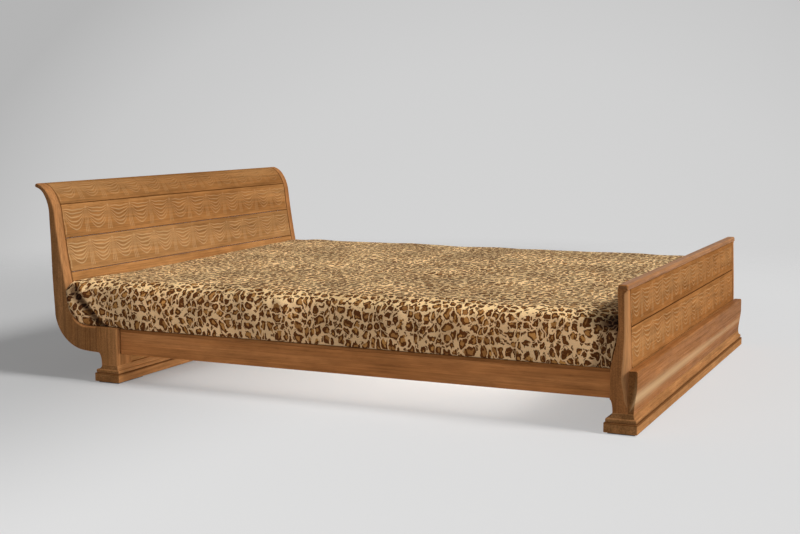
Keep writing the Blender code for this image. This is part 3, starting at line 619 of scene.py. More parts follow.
# Depth of the scrolled stile: straight runs between its stations, averaged over a way to ease the kinks
def stileDepth(station):
    form = headForm
    atLeg = seatHeight - bellyHeight
    waist = stationAt(headLine, form["lineHeight"] + form["boardHeight"])
    places = [0.0, form["seatRun"], coveEnd, waist, curlStart, headTip]
    depths = [atLeg, atLeg, form["depthCove"], form["depthWaist"], form["depthCurl"], form["depthTip"]]
    shifts = np.linspace(-form["depthEasing"], form["depthEasing"], 9)
    return np.mean([np.interp(station + shift, places, depths) for shift in shifts], axis=0)


# Section of a board or stile as stations and depths: along its face, round the lip or over the top edge,
# and down its back, with the corners rounded. A lip is a half circle past the last station.
def sectionOf(first, last, depthAt, faceStep, backStep, faceRound, backRound, lip=False):
    inner = max(faceRound, 0.001) + 0.0012   # clear of the rounded corners
    end = last if lip else last - inner
    depthFirst, depthLast = depthAt(np.array([first, last]))
    face = np.linspace(first + inner, end, max(2, int((end - first) / faceStep)))
    back = np.linspace(end, first + inner, max(2, int((last - first) / backStep)))
    top = np.array([(last, 0.0), (last, depthLast)])
    topRound = np.array([faceRound, backRound])
    if lip:
        turn = np.linspace(0, math.pi, 11)[1:-1]
        top = np.column_stack([last + depthLast / 2 * np.sin(turn), depthLast / 2 * (1 - np.cos(turn))])
        topRound = np.zeros(len(top))
    facePart = np.column_stack([face, face * 0])
    backPart = np.column_stack([back, depthAt(back)])
    points = np.vstack([facePart, top, backPart, [(first, depthFirst), (first, 0.0)]])
    return softCorners(points, np.concatenate([face * 0, topRound, back * 0, [backRound, faceRound]]))


stileLook = {
    "faceRound": 0.008, "backRound": 0.003, "innerRound": 0.0016, "step": 0.004, "tipShare": 0.35,
    "faceShare": 0.6,     # part of the depth over which the outer edge is rounded more
    "joint": 0.0003,      # corner of a piece where it meets another flush
    "shadeEnd": 0.0048,   # how far the dark of a joint reaches
}


# Darkened joints: below 0 on the rounded rings at one or both ends of a piece, 0 elsewhere
def jointShade(rings, atLow, atHigh, steps=4):
    shade = np.zeros(rings.shape[:2])
    if atLow:
        shade[:steps + 3] = -jointDark
    if atHigh:
        shade[-steps - 3:] = -jointDark
    return shade


# Rings of a piece at one side of the bed, between its inner and outer planes. The outer edge's radii may
# vary, and both edges ease off at the sharp corners.
def sideRings(outline, side, planes, inner, outer, corners, between=(), **form):
    rounds = [easedRound(outline, wanted, corners, stileLook["joint"]) for wanted in (outer, inner)]
    low, high = sorted(side * plane for plane in planes)
    return barRings(outline, 1, low, high, *rounds[::-side], [side * place for place in between], **form)


# Scrolled stile: its section in the XZ plane carried across its width. The outer edge of the face is well
# rounded.
def headStile(word, side):
    look = stileLook
    section = sectionOf(
        0.0, headTip, stileDepth, look["step"], look["step"], look["joint"], look["joint"], lip=True
    )
    depthHere = stileDepth(np.minimum(section[:, 0], headTip))
    largest = np.minimum(look["faceRound"], look["tipShare"] * depthHere)
    atFace = smoothStep(1 - section[:, 1] / (look["faceShare"] * depthHere))
    outer = look["backRound"] + (largest - look["backRound"]) * atFace
    outline = onLine(headLine, section[:, 0], section[:, 1])
    corners = onLine(headLine, np.zeros(2), np.array([0.0, seatHeight - bellyHeight]))
    between = [stileIn + look["shadeEnd"]]
    rings = sideRings(outline, side, (stileIn, stileOut), look["innerRound"], outer, corners, between)
    addWood(f"head_stile_{word}", rings, woods["oakUpright"], jointShade(rings, side > 0, side < 0))


for word, side in sideSigns.items():
    headStile(word, side)
print("head stiles done")


carving = {
    "swags": 12,
    "top": 0.145,         # shares of the board's height, from its upper edge down
    "sag": 0.055,
    "gather": 0.020,      # spacing of the folds at the knots
    "spacing": 0.118,     # and in the middle
    "folds": 5,
    "foldEnd": 0.6,       # part of a fold shown past the first and the last cut
    "foldBlur": 0.3,
    "fadeShare": 0.55,    # below this part of their spacing the folds fade out
    "bow": 2.0,
    "tailTop": 0.18,
    "tailEnd": 0.90,
    "tailScallop": 0.03,
    "tailNarrow": 0.0075,
    "tailWide": 0.0145,
    "tailBlur": 0.0016,
    "flutes": 1.5,
    "knotPlace": 0.16,
    "knotSize": 0.006,
    "waver": 0.0022,      # metres by which the cuts wander
    "drift": ((61, 9, 0.0), (23, -17, 1.3)),   # waves across and down the board, and their start
    "rise": ((47, -13, 0.4), (113, 7, 2.2)),
    "grooveDepth": 0.0022,
    "groundDepth": 0.0006,
    "panel": (0.10, 0.955, 0.05),   # where the sunk ground starts and ends, and over how far
    "fadeAcross": 0.45,
    "columnStep": 0.0019,
    "rowStep": 0.0016,
}


# Drapery swags in low relief. Across a swag u runs from -1 to 1, down the board v from 0 to 1. Fold number
# c lies where v = top + sag w + c (gather + (spacing - gather) w) with w = 1 - |u| ^ bow, so c is found from
# u and v. Its cosine gives the roll of the folds; below each knot hangs a fluted tail, a cosine of the
# distance across. Sums of two cosines let the cuts wander.
def carvedRelief(across, down, width, height):
    form = carving
    pitch = width / form["swags"]
    drift, rise = (
        sum(np.cos(across * over + down * along + start) for over, along, start in form[key])
        for key in ("drift", "rise")
    )
    down = down + form["waver"] / height * rise / 2
    u = 2 * np.mod((across + width / 2 + form["waver"] * drift / 2) / pitch, 1) - 1
    bow = 1 - np.abs(u) ** form["bow"]
    spacing = form["gather"] + (form["spacing"] - form["gather"]) * bow
    fold = (down - form["top"] - form["sag"] * bow) / spacing
    inFolds = risen(fold, -form["foldEnd"], form["foldBlur"])
    inFolds = inFolds * fallen(fold, form["folds"] + form["foldEnd"], form["foldBlur"])
    fade = smoothStep(spacing / (form["fadeShare"] * form["spacing"]))
    fromKnot = (1 - np.abs(u)) * pitch / 2
    fall = risen(down, form["tailTop"], form["tailEnd"] - form["tailTop"])
    tailHalf = form["tailNarrow"] + (form["tailWide"] - form["tailNarrow"]) * fall
    flute = np.cos(2 * math.pi * form["flutes"] * fromKnot / tailHalf)
    tailEnd = form["tailEnd"] - form["tailScallop"] * (1 - flute) / 2
    inTail = smoothStep((tailHalf - fromKnot) / form["tailBlur"] + 0.5)
    inTail = inTail * risen(down, form["tailTop"], form["tailScallop"])
    inTail = inTail * fallen(down, tailEnd, form["tailScallop"])
    knot = bell(fromKnot, form["knotSize"]) * bell((down - form["knotPlace"]) * height, form["knotSize"])
    carve = inFolds * fade * np.cos(2 * math.pi * fold) * (1 - inTail) + inTail * flute
    carve = np.maximum(carve, knot * 1.1 - 0.1 * inFolds)
    worked = np.maximum(np.maximum(inFolds * fade, inTail), knot)
    panelTop, panelEnd, panelEasing = form["panel"]
    panel = risen(down, panelTop, panelEasing) * fallen(down, panelEnd, panelEasing)
    depth = panel * form["groundDepth"] * (1 - worked) + worked * form["grooveDepth"] * (0.5 - 0.5 * carve)
    return depth, np.clip(carve, -1, 1) * worked


boardLook = {
    "faceRound": 0.0022, "backRound": 0.0015, "backStep": 0.012, "plainStep": 0.004,
    "endRound": 0.0012, "endSteps": 3, "margin": 0.0025,
}


def boardDepth(station):
    return np.full(np.shape(station), headForm["boardThickness"])


def topBoardDepth(station):
    return np.minimum(headForm["boardThickness"], stileDepth(station))


# Board across the bed: its section carried from end to end, with the carving sunk along the face's normal
def acrossBoard(node, line, first, last, wood, carved, depthAt=boardDepth, lip=False):
    look = boardLook
    low, high = (corner[1] for corner in span(node))
    rounds = look["faceRound"], look["backRound"]
    faceStep = carving["rowStep"] if carved else look["plainStep"]
    section = sectionOf(first, last, depthAt, faceStep, look["backStep"], *rounds, lip)
    station, depthIn = section.T
    outline = onLine(line, station, depthIn)
    reach = look["endRound"] + look["margin"]
    columns = int((high - low) / carving["columnStep"]) if carved else 2
    between = np.linspace(low + reach, high - reach, columns)
    rings = barRings(outline, 1, low, high, look["endRound"], look["endRound"], between, look["endSteps"])
    carve = jointShade(rings, True, True, look["endSteps"])
    onFace = depthIn < 1e-6
    carve[:, ~onFace & (depthIn < look["faceRound"])] = -jointDark
    if carved:
        aim = np.interp(station[onFace], line["walked"], line["aim"])
        down = 1 - (station[onFace] - first) / (last - first)
        depth, crest = carvedRelief(rings[:, onFace, 1], down[None], high - low, last - first)
        inside = slice(look["endSteps"] + 3, -look["endSteps"] - 3)
        left = (1 - rings[inside, onFace, 1] / high) / 2   # the lime has gone towards the right
        carve[inside, onFace] = crest[inside] * (1 - carving["fadeAcross"] + carving["fadeAcross"] * left)
        rings[:, onFace, 0] -= depth * np.sin(aim)
        rings[:, onFace, 2] += depth * np.cos(aim)
    addWood(node, rings, woods[wood], carve)
    print("board:", node, carve.size, "points")


baseLine, lowerLine, middleLine = [
    stationAt(headLine, headForm["lineHeight"] + headForm["boardHeight"] * row) for row in range(3)
]
acrossBoard("head_belly_board", headLine, halfGap, coveEnd - halfGap, "oakAcross", False)
acrossBoard("head_board_base", headLine, coveEnd + halfGap, baseLine - halfGap, "oakAcross", False)
acrossBoard("head_board_lower", headLine, baseLine + halfGap, lowerLine - halfGap, "oakLower", True)
acrossBoard("head_board_middle", headLine, lowerLine + halfGap, middleLine - halfGap, "oakCarved", True)
acrossBoard("head_board_top", headLine, middleLine + halfGap, headTip, "oakCurlShaded", True, topBoardDepth, True)


legLook = {
    "frontRound": 0.006, "edge": 0.0015, "inner": 0.001, "seatEdge": 0.001, "frontReach": 0.004,
    "neckDepth": 0.0145, "neckSteps": 14, "railEnd": 0.0001, "margin": 0.0005,
}


# A quarter of an ellipse that draws in by a depth on its way down, from the first height to the second
def neckLine(x, depth, top, bottom, steps):
    turn = np.linspace(0, math.pi / 2, steps)
    return np.column_stack([x + depth * np.sin(turn), top - (top - bottom) * (1 - np.cos(turn))])


# What stands under the seat at the head: an upright face, and at the back a cavetto that draws in from the
# belly to the neck
def legOutline(face, back, stand):
    joint = stileLook["joint"]
    neck = neckLine(back, legLook["neckDepth"], bellyHeight, stand, legLook["neckSteps"])
    points = np.vstack([[(face, stand), (face, seatHeight), (back, seatHeight)], neck])
    rounds = np.concatenate([[joint, legLook["seatEdge"], joint, joint], np.zeros(len(neck) - 2), [joint]])
    return softCorners(*closeSpaced(points, rounds), margin=legLook["margin"]), points[[0, 1, 2, 3, -1]]


legShape, legCorners = legOutline(legHigh[0], legLow[0] - 2 * halfGap, legLow[2] - seamOverlap)
legFront = smoothStep((legShape[:, 0] - legHigh[0]) / legLook["frontReach"] + 1)
legEdge = legLook["edge"] + (legLook["frontRound"] - legLook["edge"]) * legFront
for word, side in sideSigns.items():
    legRings = sideRings(legShape, side, (legLow[1], legHigh[1]), legLook["inner"], legEdge, legCorners)
    addWood(f"head_leg_{word}", legRings, woods["oakLeg"])

railLow, railHigh = span("head_base_rail")
railShape = legOutline(railHigh[0], railLow[0], railLow[2] - seamOverlap)[0]
railRings = barRings(railShape, 1, railLow[1], railHigh[1], legLook["railEnd"], legLook["railEnd"])
addWood("head_base_rail", railRings, woods["oakAcross"])
print("head legs done")


footForm = {
    "lean": 2.4, "leanEasing": 0.012, "faceInset": 0.0305, "legDepth": 0.0545, "topDepth": 0.0265,
    "taperLead": 0.017, "taperRun": 0.150, "boardHeight": 0.120, "neckDepth": 0.009, "neckSteps": 10,
    "apronScoop": 0.0085, "apronThickness": 0.026, "apronRound": 0.004, "apronUpright": 0.036,
    # width of the chamfer by height
    "chamferHeights": (0.080, 0.092, 0.124, 0.155, 0.186, 0.218, 0.284, 0.433),
    "chamferWidths": (0.0012, 0.0115, 0.0160, 0.0230, 0.0220, 0.0180, 0.0115, 0.0080),
    "chamferEasing": 0.010, "chamferShape": 1.45, "chamferSteps": 6, "plainEdge": 0.0012,
    "faceBand": 0.006, "chamferHighlight": 0.40, "fadeAcross": 0.35, "margin": 0.0005,
}
footStand = span("foot_stile_right")[0][2]
railBottom = span("side_rail_right")[0][2]
capLow, capHigh = span("foot_cap_rail")
apronLow, apronHigh = span("foot_apron")
ledgeHeight = apronHigh[2]
footFace = cadHigh[0] - footForm["faceInset"]
footIn = footFace - footForm["legDepth"]
footLean = math.radians(footForm["lean"])
boardTop = capLow[2] - 2 * halfGap
footLine = walkLine(
    (footFace, footStand),
    math.pi / 2,
    [
        (ledgeHeight - footStand - footForm["leanEasing"], 0.0),
        (footForm["leanEasing"], footLean),
        ((boardTop - ledgeHeight) / math.cos(footLean), 0.0),
    ],
)


def footFaceAt(height):
    return np.interp(height, footLine["z"], footLine["x"])


# Inner side of the foot: upright beside the rail, then a smooth step out to the thin top
def footInnerAt(height):
    sweep = smoothStep((height - ledgeHeight + footForm["taperLead"]) / footForm["taperRun"])
    return (1 - sweep) * footIn + sweep * (footFaceAt(height) - footForm["topDepth"])


# Face of the apron by height: upright at the top, below it a scoop that swings in with a cosine
def apronFaceAt(height):
    form = footForm
    part = (height - footStand) / (ledgeHeight - form["apronRound"] - form["apronUpright"] - footStand)
    scoop = form["apronScoop"] * (1 + np.cos(math.pi * np.clip(part, 0, 1))) / 2
    return footFace + form["apronThickness"] - scoop


# Foot stile: the leaning face, whose outer edge has a wide soft chamfer that runs out to a point above the
# base, and the swept inner side, which draws in below the rail to a neck. The chamfer has a painted
# highlight, and the side darkens inwards.
def footStile(word, side):
    form = footForm
    bottom = footStand - seamOverlap
    rise = np.linspace(bottom, boardTop, 110)
    face = np.column_stack([footFaceAt(rise), rise])
    fall = np.linspace(boardTop, railBottom, 80)
    inner = np.column_stack([footInnerAt(fall), fall])
    neck = neckLine(footIn, form["neckDepth"], railBottom, bottom, form["neckSteps"])[1:]
    points = np.vstack([face, inner, neck])
    sharp = [0, len(face) - 1, len(face), len(points) - 1]
    rounds = np.zeros(len(points))
    rounds[sharp] = stileLook["joint"]
    outline = softCorners(*closeSpaced(points, rounds), margin=form["margin"])
    onFace = smoothStep(1 - np.abs(outline[:, 0] - footFaceAt(outline[:, 1])) / form["faceBand"])
    heights = outline[:, 1] + np.linspace(-form["chamferEasing"], form["chamferEasing"], 7)[:, None]
    widths = np.interp(heights, form["chamferHeights"], form["chamferWidths"]).mean(axis=0)
    chamfer = form["plainEdge"] + (widths - form["plainEdge"]) * onFace
    rings = sideRings(
        outline, side, (stileIn, stileOut), stileLook["innerRound"], chamfer, points[sharp],
        [stileIn + stileLook["shadeEnd"]], steps=form["chamferSteps"], shape=form["chamferShape"],
    )
    shade = jointShade(rings, side > 0, side < 0, form["chamferSteps"])
    fromOutside = shade[::-side]
    # painted highlight on the chamfer
    chamferHighlight = form["chamferHighlight"] * smoothStep((chamfer - form["plainEdge"]) / form["faceBand"])
    chamfered = slice(2, form["chamferSteps"] + 3)
    fromOutside[chamfered] = np.maximum(fromOutside[chamfered], chamferHighlight)
    # the side is darker towards its inner edge
    fromOutside[0] = -form["fadeAcross"] * (1 - onFace)
    addWood(f"foot_stile_{word}", rings, woods["oakPost"], shade)


for word, side in sideSigns.items():
    footStile(word, side)
footHeights = (ledgeHeight, ledgeHeight + footForm["boardHeight"], boardTop)
footLow, footMiddle, footTop = (stationAt(footLine, height) for height in footHeights)
acrossBoard("foot_board_lower", footLine, footLow + halfGap, footMiddle - halfGap, "oakFoot", True)
acrossBoard("foot_board_upper", footLine, footMiddle + halfGap, footTop - halfGap, "oakFoot", True)

capLook = {"topRound": 0.0055, "edge": 0.0004, "endRound": 0.005, "step": 0.009, "margin": 0.0004}
capCorners = rectangle(capLow[0], capHigh[0], capLow[2] - 3 * halfGap, capHigh[2])
capRounds = (capLook["edge"], capLook["edge"], capLook["topRound"], capLook["topRound"])
capSpaced = closeSpaced(capCorners, capRounds, capLook["step"])
capOutline = softCorners(*capSpaced, steps=6, margin=capLook["margin"])
capEnd = easedRound(capOutline, capLook["endRound"], capCorners[:2], capLook["edge"])
addWood("foot_cap_rail", barRings(capOutline, 1, capLow[1], capHigh[1], capEnd, capEnd), woods["oakCap"])


apronLook = {
    "edge": 0.0008, "endRound": 0.0006, "columns": 18,
    "shine": (0.36, 0.14),   # height and half width of the painted highlight band
    "shineFace": 0.008,
    "farShine": 0.55,        # by which that band fades towards the far end
    "farDark": 0.5,          # and the rest of the board darkens
}


# Apron: its face up to a rounded ledge, a quarter circle, and a flat back
def apronOutline():
    form = footForm
    back, bottom = footFace + 2 * halfGap, footStand - seamOverlap
    noseBottom = ledgeHeight - form["apronRound"]
    turn = np.linspace(0, math.pi / 2, 8)
    noseFace = footFace + form["apronThickness"] - form["apronRound"] * (1 - np.cos(turn))
    nose = np.column_stack([noseFace, noseBottom + form["apronRound"] * np.sin(turn)])
    rise = np.linspace(bottom, noseBottom - form["apronUpright"], 40)
    face = np.column_stack([apronFaceAt(rise), rise])
    points = np.vstack([[(back, bottom)], face, nose, [(back, ledgeHeight)]])
    rounds = np.zeros(len(points))
    rounds[[0, 1, -1]] = apronLook["edge"]
    return softCorners(points, rounds)


# A painted highlight lies along the scoop, most at the near end, and the board darkens towards the other
def buildApron():
    look = apronLook
    between = np.linspace(apronLow[1], apronHigh[1], look["columns"])[1:-1]
    ends = look["endRound"], look["endRound"]
    rings = barRings(apronOutline(), 1, apronLow[1], apronHigh[1], *ends, between)
    x, y, z = np.moveaxis(rings, -1, 0)
    place, half = look["shine"]
    # painted highlight along the scoop
    shine = bell((z - apronLow[2]) / (apronHigh[2] - apronLow[2]) - place, half)
    shine = shine * risen(x, footFace, look["shineFace"])
    far = risen(y, apronLow[1], apronHigh[1] - apronLow[1])
    tone = shine * (1 - look["farShine"] * far) - look["farDark"] * far * (1 - shine)
    addWood("foot_apron", rings, woods["oakPolished"], tone)


buildApron()


# A straight piece of wood: its box with rounded edges, along one axis. Where it butts against others its
# ends are dark.
def plainBar(node, axis, wood, edge, butts=(False, False)):
    low, high = span(node)
    first, second = [other for other in range(3) if other != axis]
    outline = softCorners(rectangle(low[first], high[first], low[second], high[second]), edge)
    between = [low[axis] + stileLook["shadeEnd"], high[axis] - stileLook["shadeEnd"]]
    rings = barRings(outline, axis, low[axis], high[axis], 0.85 * edge, 0.85 * edge, between)
    addWood(node, rings, woods[wood], jointShade(rings, *butts))


plainBar("foot_base_rail", 1, "oakAcross", 0.0012)
for word in sideSigns:
    plainBar(f"side_rail_{word}", 0, "oakLengthwise", 0.0012, (True, True))
    plainBar(f"rail_cap_{word}", 0, "oakStripShaded", 0.0024, (True, True))
    plainBar(f"ledger_{word}", 0, "beechLengthwise", 0.0015)
plainBar("centre_beam", 0, "beechLengthwise", 0.002)
for number in range(1, 13):
    plainBar(f"slat_{number:02d}", 1, "beechAcross", 0.003)
for end in ("head", "foot"):
    plainBar(f"{end}_plinth", 2, "oakBase", 0.0026, (False, True))
print("foot, rails and slats done")


mouldingForm = {"height": 0.0125, "edge": 0.0012, "capInset": 0.0015, "noseSteps": 12, "coveSteps": 10}


# Base moulding: rectangles stacked into a half-round nose, whose draw is nose (1 - sin t) / 2, and above it
# a cove, a quarter of an ellipse that narrows to what stands on the base. Its joint to the plinth is dark.
def baseMoulding(node, standLow, standHigh):
    form = mouldingForm
    low, high = span(node)
    nose = form["height"] / 2
    turn = np.linspace(0, math.pi, form["noseSteps"])
    draw = nose * (1 - np.sin(turn)) / 2
    noseHeights = low[2] + nose * (1 - np.cos(turn))
    noseLevels = np.column_stack([low[0] + draw, high[0] - draw, high[1] - draw, noseHeights])
    top = noseLevels[-1]
    rise = np.linspace(0, math.pi / 2, form["coveSteps"])[1:, None]
    target = np.array([standLow, standHigh, stileOut, high[2]])
    share = np.concatenate([np.repeat(np.sin(rise), 3, axis=1), 1 - np.cos(rise)], axis=1)
    levels = np.vstack([noseLevels, top + (target - top) * share])
    inset = np.array([1, -1, -1, 0]) * form["capInset"]
    levels = np.vstack([levels[0] + inset, levels, levels[-1] + inset])
    rings = []
    for left, right, half, height in levels:
        ring = softCorners(rectangle(left, right, -half, half), form["edge"], steps=3)
        rings.append(np.column_stack([ring, np.full(len(ring), height)]))
    shade = np.zeros(np.shape(rings)[:2])
    shade[:3] = -jointDark
    addWood(node, np.array(rings), woods["oakBase"], shade)


baseMoulding("head_moulding", legLow[0] + legLook["neckDepth"], legHigh[0])
baseMoulding("foot_moulding", footIn + footForm["neckDepth"], float(apronFaceAt(footStand - seamOverlap)))
print("base mouldings done")

for node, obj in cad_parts.items():
    isFelt = "pad_" in node
    if isFelt or node.startswith(("bracket", "beam_hanger", "rail_bolt", "post_bolt")):
        obj.data.materials.clear()
        obj.data.materials.append(brownFelt if isFelt else blackSteel)


pad = {
    "cells": (112, 66, 9),
    "roundHigh": (0.006, 0.034, 0.030),   # along, across and up, at the top edges
    "roundLow": (0.003, 0.006, 0.006),    # and at the bottom
    "ends": (0.30, 0.16),     # share of the cells that lie near the ends, and of the length they cover
    "edges": (0.34, 0.16),
    "crown": 0.008,
    "draw": 0.004,
    "clearance": 0.003,
    "frames": 20,
    "reach": 0.007,
    "ripple": (0.0052, 0.045, 0.16),      # height, shortest and longest wave
    "rippleStrength": (0.35, 1.1),        # waves by which the ripples come and go
    "rippleSlant": 0.1,
    "rippleBand": (0.2, 1.05, 0.3),       # levels between which the ripples stand
    "facing": (0.5, 0.4),                 # part of its normal from which a face is side or top
    "edgeBand": (0.075, 0.05),            # and how near the long edges a point is on an edge
    "fillBand": (0.45, 0.92, 0.2),        # levels between which the corners bulge
    "upperBand": (0.55, 0.35),            # and from which a corner's upper part counts
    "otherSide": 5.3,                     # shift by which the two sides differ
    "gatherDepth": 0.06,
    "swayReach": 0.07,
    "gather": (0.0085, 0.055, 0.20),
    "stretch": (0.82, 0.84),              # the print is drawn out across the top and down the sides
    "sway": (0.0045, 0.14, 0.50),
    "swell": (0.0030, 0.30, 0.90),
    "headTuck": {
        "top": (0.016, 0.150), "bottom": (0.092, 0.020), "width": 0.0105, "depth": 0.020, "drawn": 0.006,
        "dark": (0.008, 0.014, 1.0),           # how far past the tuck its painted shade lies, its width and strength
        "shade": (0.014, 0.022, 0.60, 0.85),   # reach of the painted shadow at the corner below and above, its strength
        "fill": 0.030,                         # by which the corner bulges out
        "snug": 0.006,                         # by which it is drawn to the end
        "sag": 0.0,                            # by which its top sinks
    },
    "footTuck": {
        "top": (0.030, 0.140), "bottom": (0.055, 0.006), "width": 0.0100, "depth": 0.012, "drawn": 0.005,
        "dark": (0.004, 0.012, 0.5),
        "shade": (0.050, 0.072, 0.42, 0.97),
        "fill": 0.003,
        "snug": 0.0,
        "sag": 0.014,
    },
    "tuckReach": {"drawn": 0.06, "fill": 0.05, "snug": 0.03, "sag": (0.07, 0.06)},   # from the corner
    "overRail": (0.779, 0.006, 0.0038),   # where the lower edge leaves the slats, over what way, how deep
    "press": 0.007,           # how far the lower edge is pressed flat
    "pressBand": (0.25, 0.2),
    "lift": 0.010,            # by which the far side stands higher
    "liftBand": (-0.4, 1.2),
    "hemShadow": (0.66, 0.98),      # painted shadow along the lower edge, and darker on the seat of the head
    "hemShadowBand": (0.075, 0.05),
    "room": 0.0015,           # kept clear of both ends
    "seed": 7,
}
clothSettings = {
    "quality": 5,
    "mass": 0.3,
    "use_pressure": True,
    "uniform_pressure_force": 0.15,
    "tension_stiffness": 15,
    "compression_stiffness": 15,
    "bending_stiffness": 0.5,
}
bedLow, bedHigh = span("mattress")


# A box's six sides as one lattice: each side is a grid of two of the numbers, with the third at its end.
# Points that two sides share are joined. Gives the whole numbers of the points, the quads and each quad's
# side.
def boxLattice(cells):
    grids, quads, sideOf, first = [], [], [], 0
    for axis in range(3):
        one, two = [other for other in range(3) if other != axis]
        for end in (0, cells[axis]):
            grid = np.zeros((cells[one] + 1, cells[two] + 1, 3), int)
            grid[..., one], grid[..., two] = np.indices(grid.shape[:2])
            grid[..., axis] = end
            index = first + np.arange(grid[..., 0].size).reshape(grid.shape[:2])
            corners = [index[:-1, :-1], index[1:, :-1], index[1:, 1:], index[:-1, 1:]]
            quad = np.stack(corners, axis=-1).reshape(-1, 4)
            flip = (end > 0) == (axis == 1)   # so that every side faces out
            quads.append(quad[:, ::-1] if flip else quad)
            sideOf.append(np.full(len(quad), axis * 2 + (end > 0)))
            grids.append(grid.reshape(-1, 3))
            first += index.size
    unique, inverse = np.unique(np.concatenate(grids), axis=0, return_inverse=True)
    return unique, inverse.reshape(-1)[np.concatenate(quads)], np.concatenate(sideOf)


# Smooth random line: a sum of cosines with seeded lengths and phases, about -1 to 1
def wavyLine(value, shortest, longest, draw, count=9):
    random = np.random.default_rng(pad["seed"] + draw)
    lengths = np.exp(random.uniform(math.log(shortest), math.log(longest), count))
    phases = random.uniform(0, 2 * math.pi, count)
    weights = random.uniform(0.4, 1.0, count)
    waves = np.cos(2 * math.pi * np.asarray(value)[..., None] / lengths + phases) * weights
    return waves.sum(axis=-1) / np.sqrt((weights**2).sum() * 2)


def headEndAt(height):
    rising = headLine["walked"] > headForm["seatRun"]
    return np.interp(height, headLine["z"][rising], headLine["x"][rising])


# Even shares from -1 to 1, drawn together near both ends
def crowded(share, ends):
    cellShare, band = ends
    return np.sign(share) * np.interp(np.abs(share), [0, 1 - cellShare, 1], [0, 1 - band, 1])


# The pad at rest: lattice numbers spread over the box, its edges rounded by pushing each point out from an
# inner box to an ellipsoid's distance, a crown on top and sides drawn in between the corners. The head end
# follows the head's face line and the foot end the foot's inner side.
def padShape(lattice):
    share = lattice / np.array(pad["cells"]) * 2 - 1
    share[:, 0] = crowded(share[:, 0], pad["ends"])
    share[:, 1] = crowded(share[:, 1], pad["edges"])
    half = (bedHigh - bedLow) / 2
    roundLow, roundHigh = np.array(pad["roundLow"]), np.array(pad["roundHigh"])
    rounding = roundLow + (roundHigh - roundLow) * smoothStep(share[:, 2:] * 0.75 + 0.5)
    flat = share * half
    core = np.clip(flat, rounding - half, half - rounding)
    out = (flat - core) / rounding
    length = np.maximum(np.linalg.norm(out, axis=1, keepdims=True), 1e-9)
    u, v, w = ((core + out / length * rounding) / half).T
    level = (w + 1) / 2
    height = bedLow[2] + (bedHigh[2] - bedLow[2] - pad["crown"]) * level
    height = height + pad["crown"] * (1 - u**2) * (1 - v**2) * level
    headEnd = headEndAt(height) + pad["clearance"]
    footEnd = footInnerAt(height) - pad["clearance"]
    x = headEnd + (footEnd - headEnd) * (u + 1) / 2
    y = v * (half[1] - pad["draw"] * (1 - u**2) * np.abs(w))
    return np.column_stack([x, y, height])


# The cover unfolded flat: the top lies as it is, each side continues past its edge by the way down. On the
# long sides the cloth is gathered, so there the print is drawn together and apart along the bed.
def unfolded(points, quads, sideOf):
    corner = points[quads]
    down = bedHigh[2] - corner[..., 2]
    overTop, overSide = pad["stretch"]
    flat = corner[..., :2] * np.array([1.0, overTop])
    for number, axis, sign in ((0, 0, -1), (1, 0, 1), (2, 1, -1), (3, 1, 1)):
        rows = sideOf == number
        edge = (bedLow[axis] if sign < 0 else bedHigh[axis]) * (overTop if axis else 1.0)
        flat[rows, :, axis] = edge + sign * overSide * down[rows]
        if axis == 1:
            reach, shortest, longest = pad["gather"]
            gathered = reach * wavyLine(flat[rows, :, 0] + sign, shortest, longest, 5)
            flat[rows, :, 0] += gathered * risen(down[rows], 0, pad["gatherDepth"])
    flat[sideOf == 4, :, 0] += 3.0   # the underside lies apart
    return flat.reshape(-1, 2)


def readVectors(collection, key):
    values = np.empty(len(collection) * 3, np.float32)
    collection.foreach_get(key, values)
    return values.reshape(-1, 3).astype(float)


# Cloth run: the cover is blown up a little by pressure without gravity
def blowUp(mesh):
    guide = linked("padGuide", mesh.copy())
    cloth = guide.modifiers.new("cover", "CLOTH")
    for key, value in clothSettings.items():
        setattr(cloth.settings, key, value)
    cloth.settings.effector_weights.gravity = 0
    cloth.point_cache.frame_end = pad["frames"]
    for number in range(1, pad["frames"] + 1):
        bpy.context.scene.frame_set(number)
    evaluated = guide.evaluated_get(bpy.context.evaluated_depsgraph_get()).data
    moved = readVectors(evaluated.vertices, "co")
    bpy.context.scene.frame_set(1)
    bpy.data.objects.remove(guide)
    return moved


# Tucks at the corners of one end: a groove along a slanting line on the side, with the cloth past it drawn
# in. Gives how far the cloth moves out, sideways, along and down there, and the painted shade there.
def tuckAt(tuck, away, inward, along, height, level):
    top, bottom = np.array(tuck["top"]), np.array(tuck["bottom"])
    slant = (bottom - top) / np.linalg.norm(bottom - top)
    across = (np.column_stack([away, height]) - top) @ np.array([-slant[1], slant[0]])
    groove = tuck["depth"] * bell(across, tuck["width"])
    reach = pad["tuckReach"]
    drawn = tuck["drawn"] * smoothStep(-across / tuck["width"]) * bell(across, reach["drawn"])
    shift, width, strength = tuck["dark"]
    reachLow, reachHigh, below, above = tuck["shade"]
    upper = risen(level, *pad["upperBand"])
    shade = smoothStep(1.6 - (away + inward) / (reachLow + (reachHigh - reachLow) * upper))
    return {
        "bulge": -groove - drawn,
        "push": tuck["fill"] * bell(away, reach["fill"]),
        "snug": tuck["snug"] * along * bell(away, reach["snug"]),
        "sag": tuck["sag"] * bell(away, reach["sag"][0]) * bell(inward, reach["sag"][1]) * upper,
        "dark": strength * bell(across + shift, width),
        "shade": shade * (below + (above - below) * upper),
    }
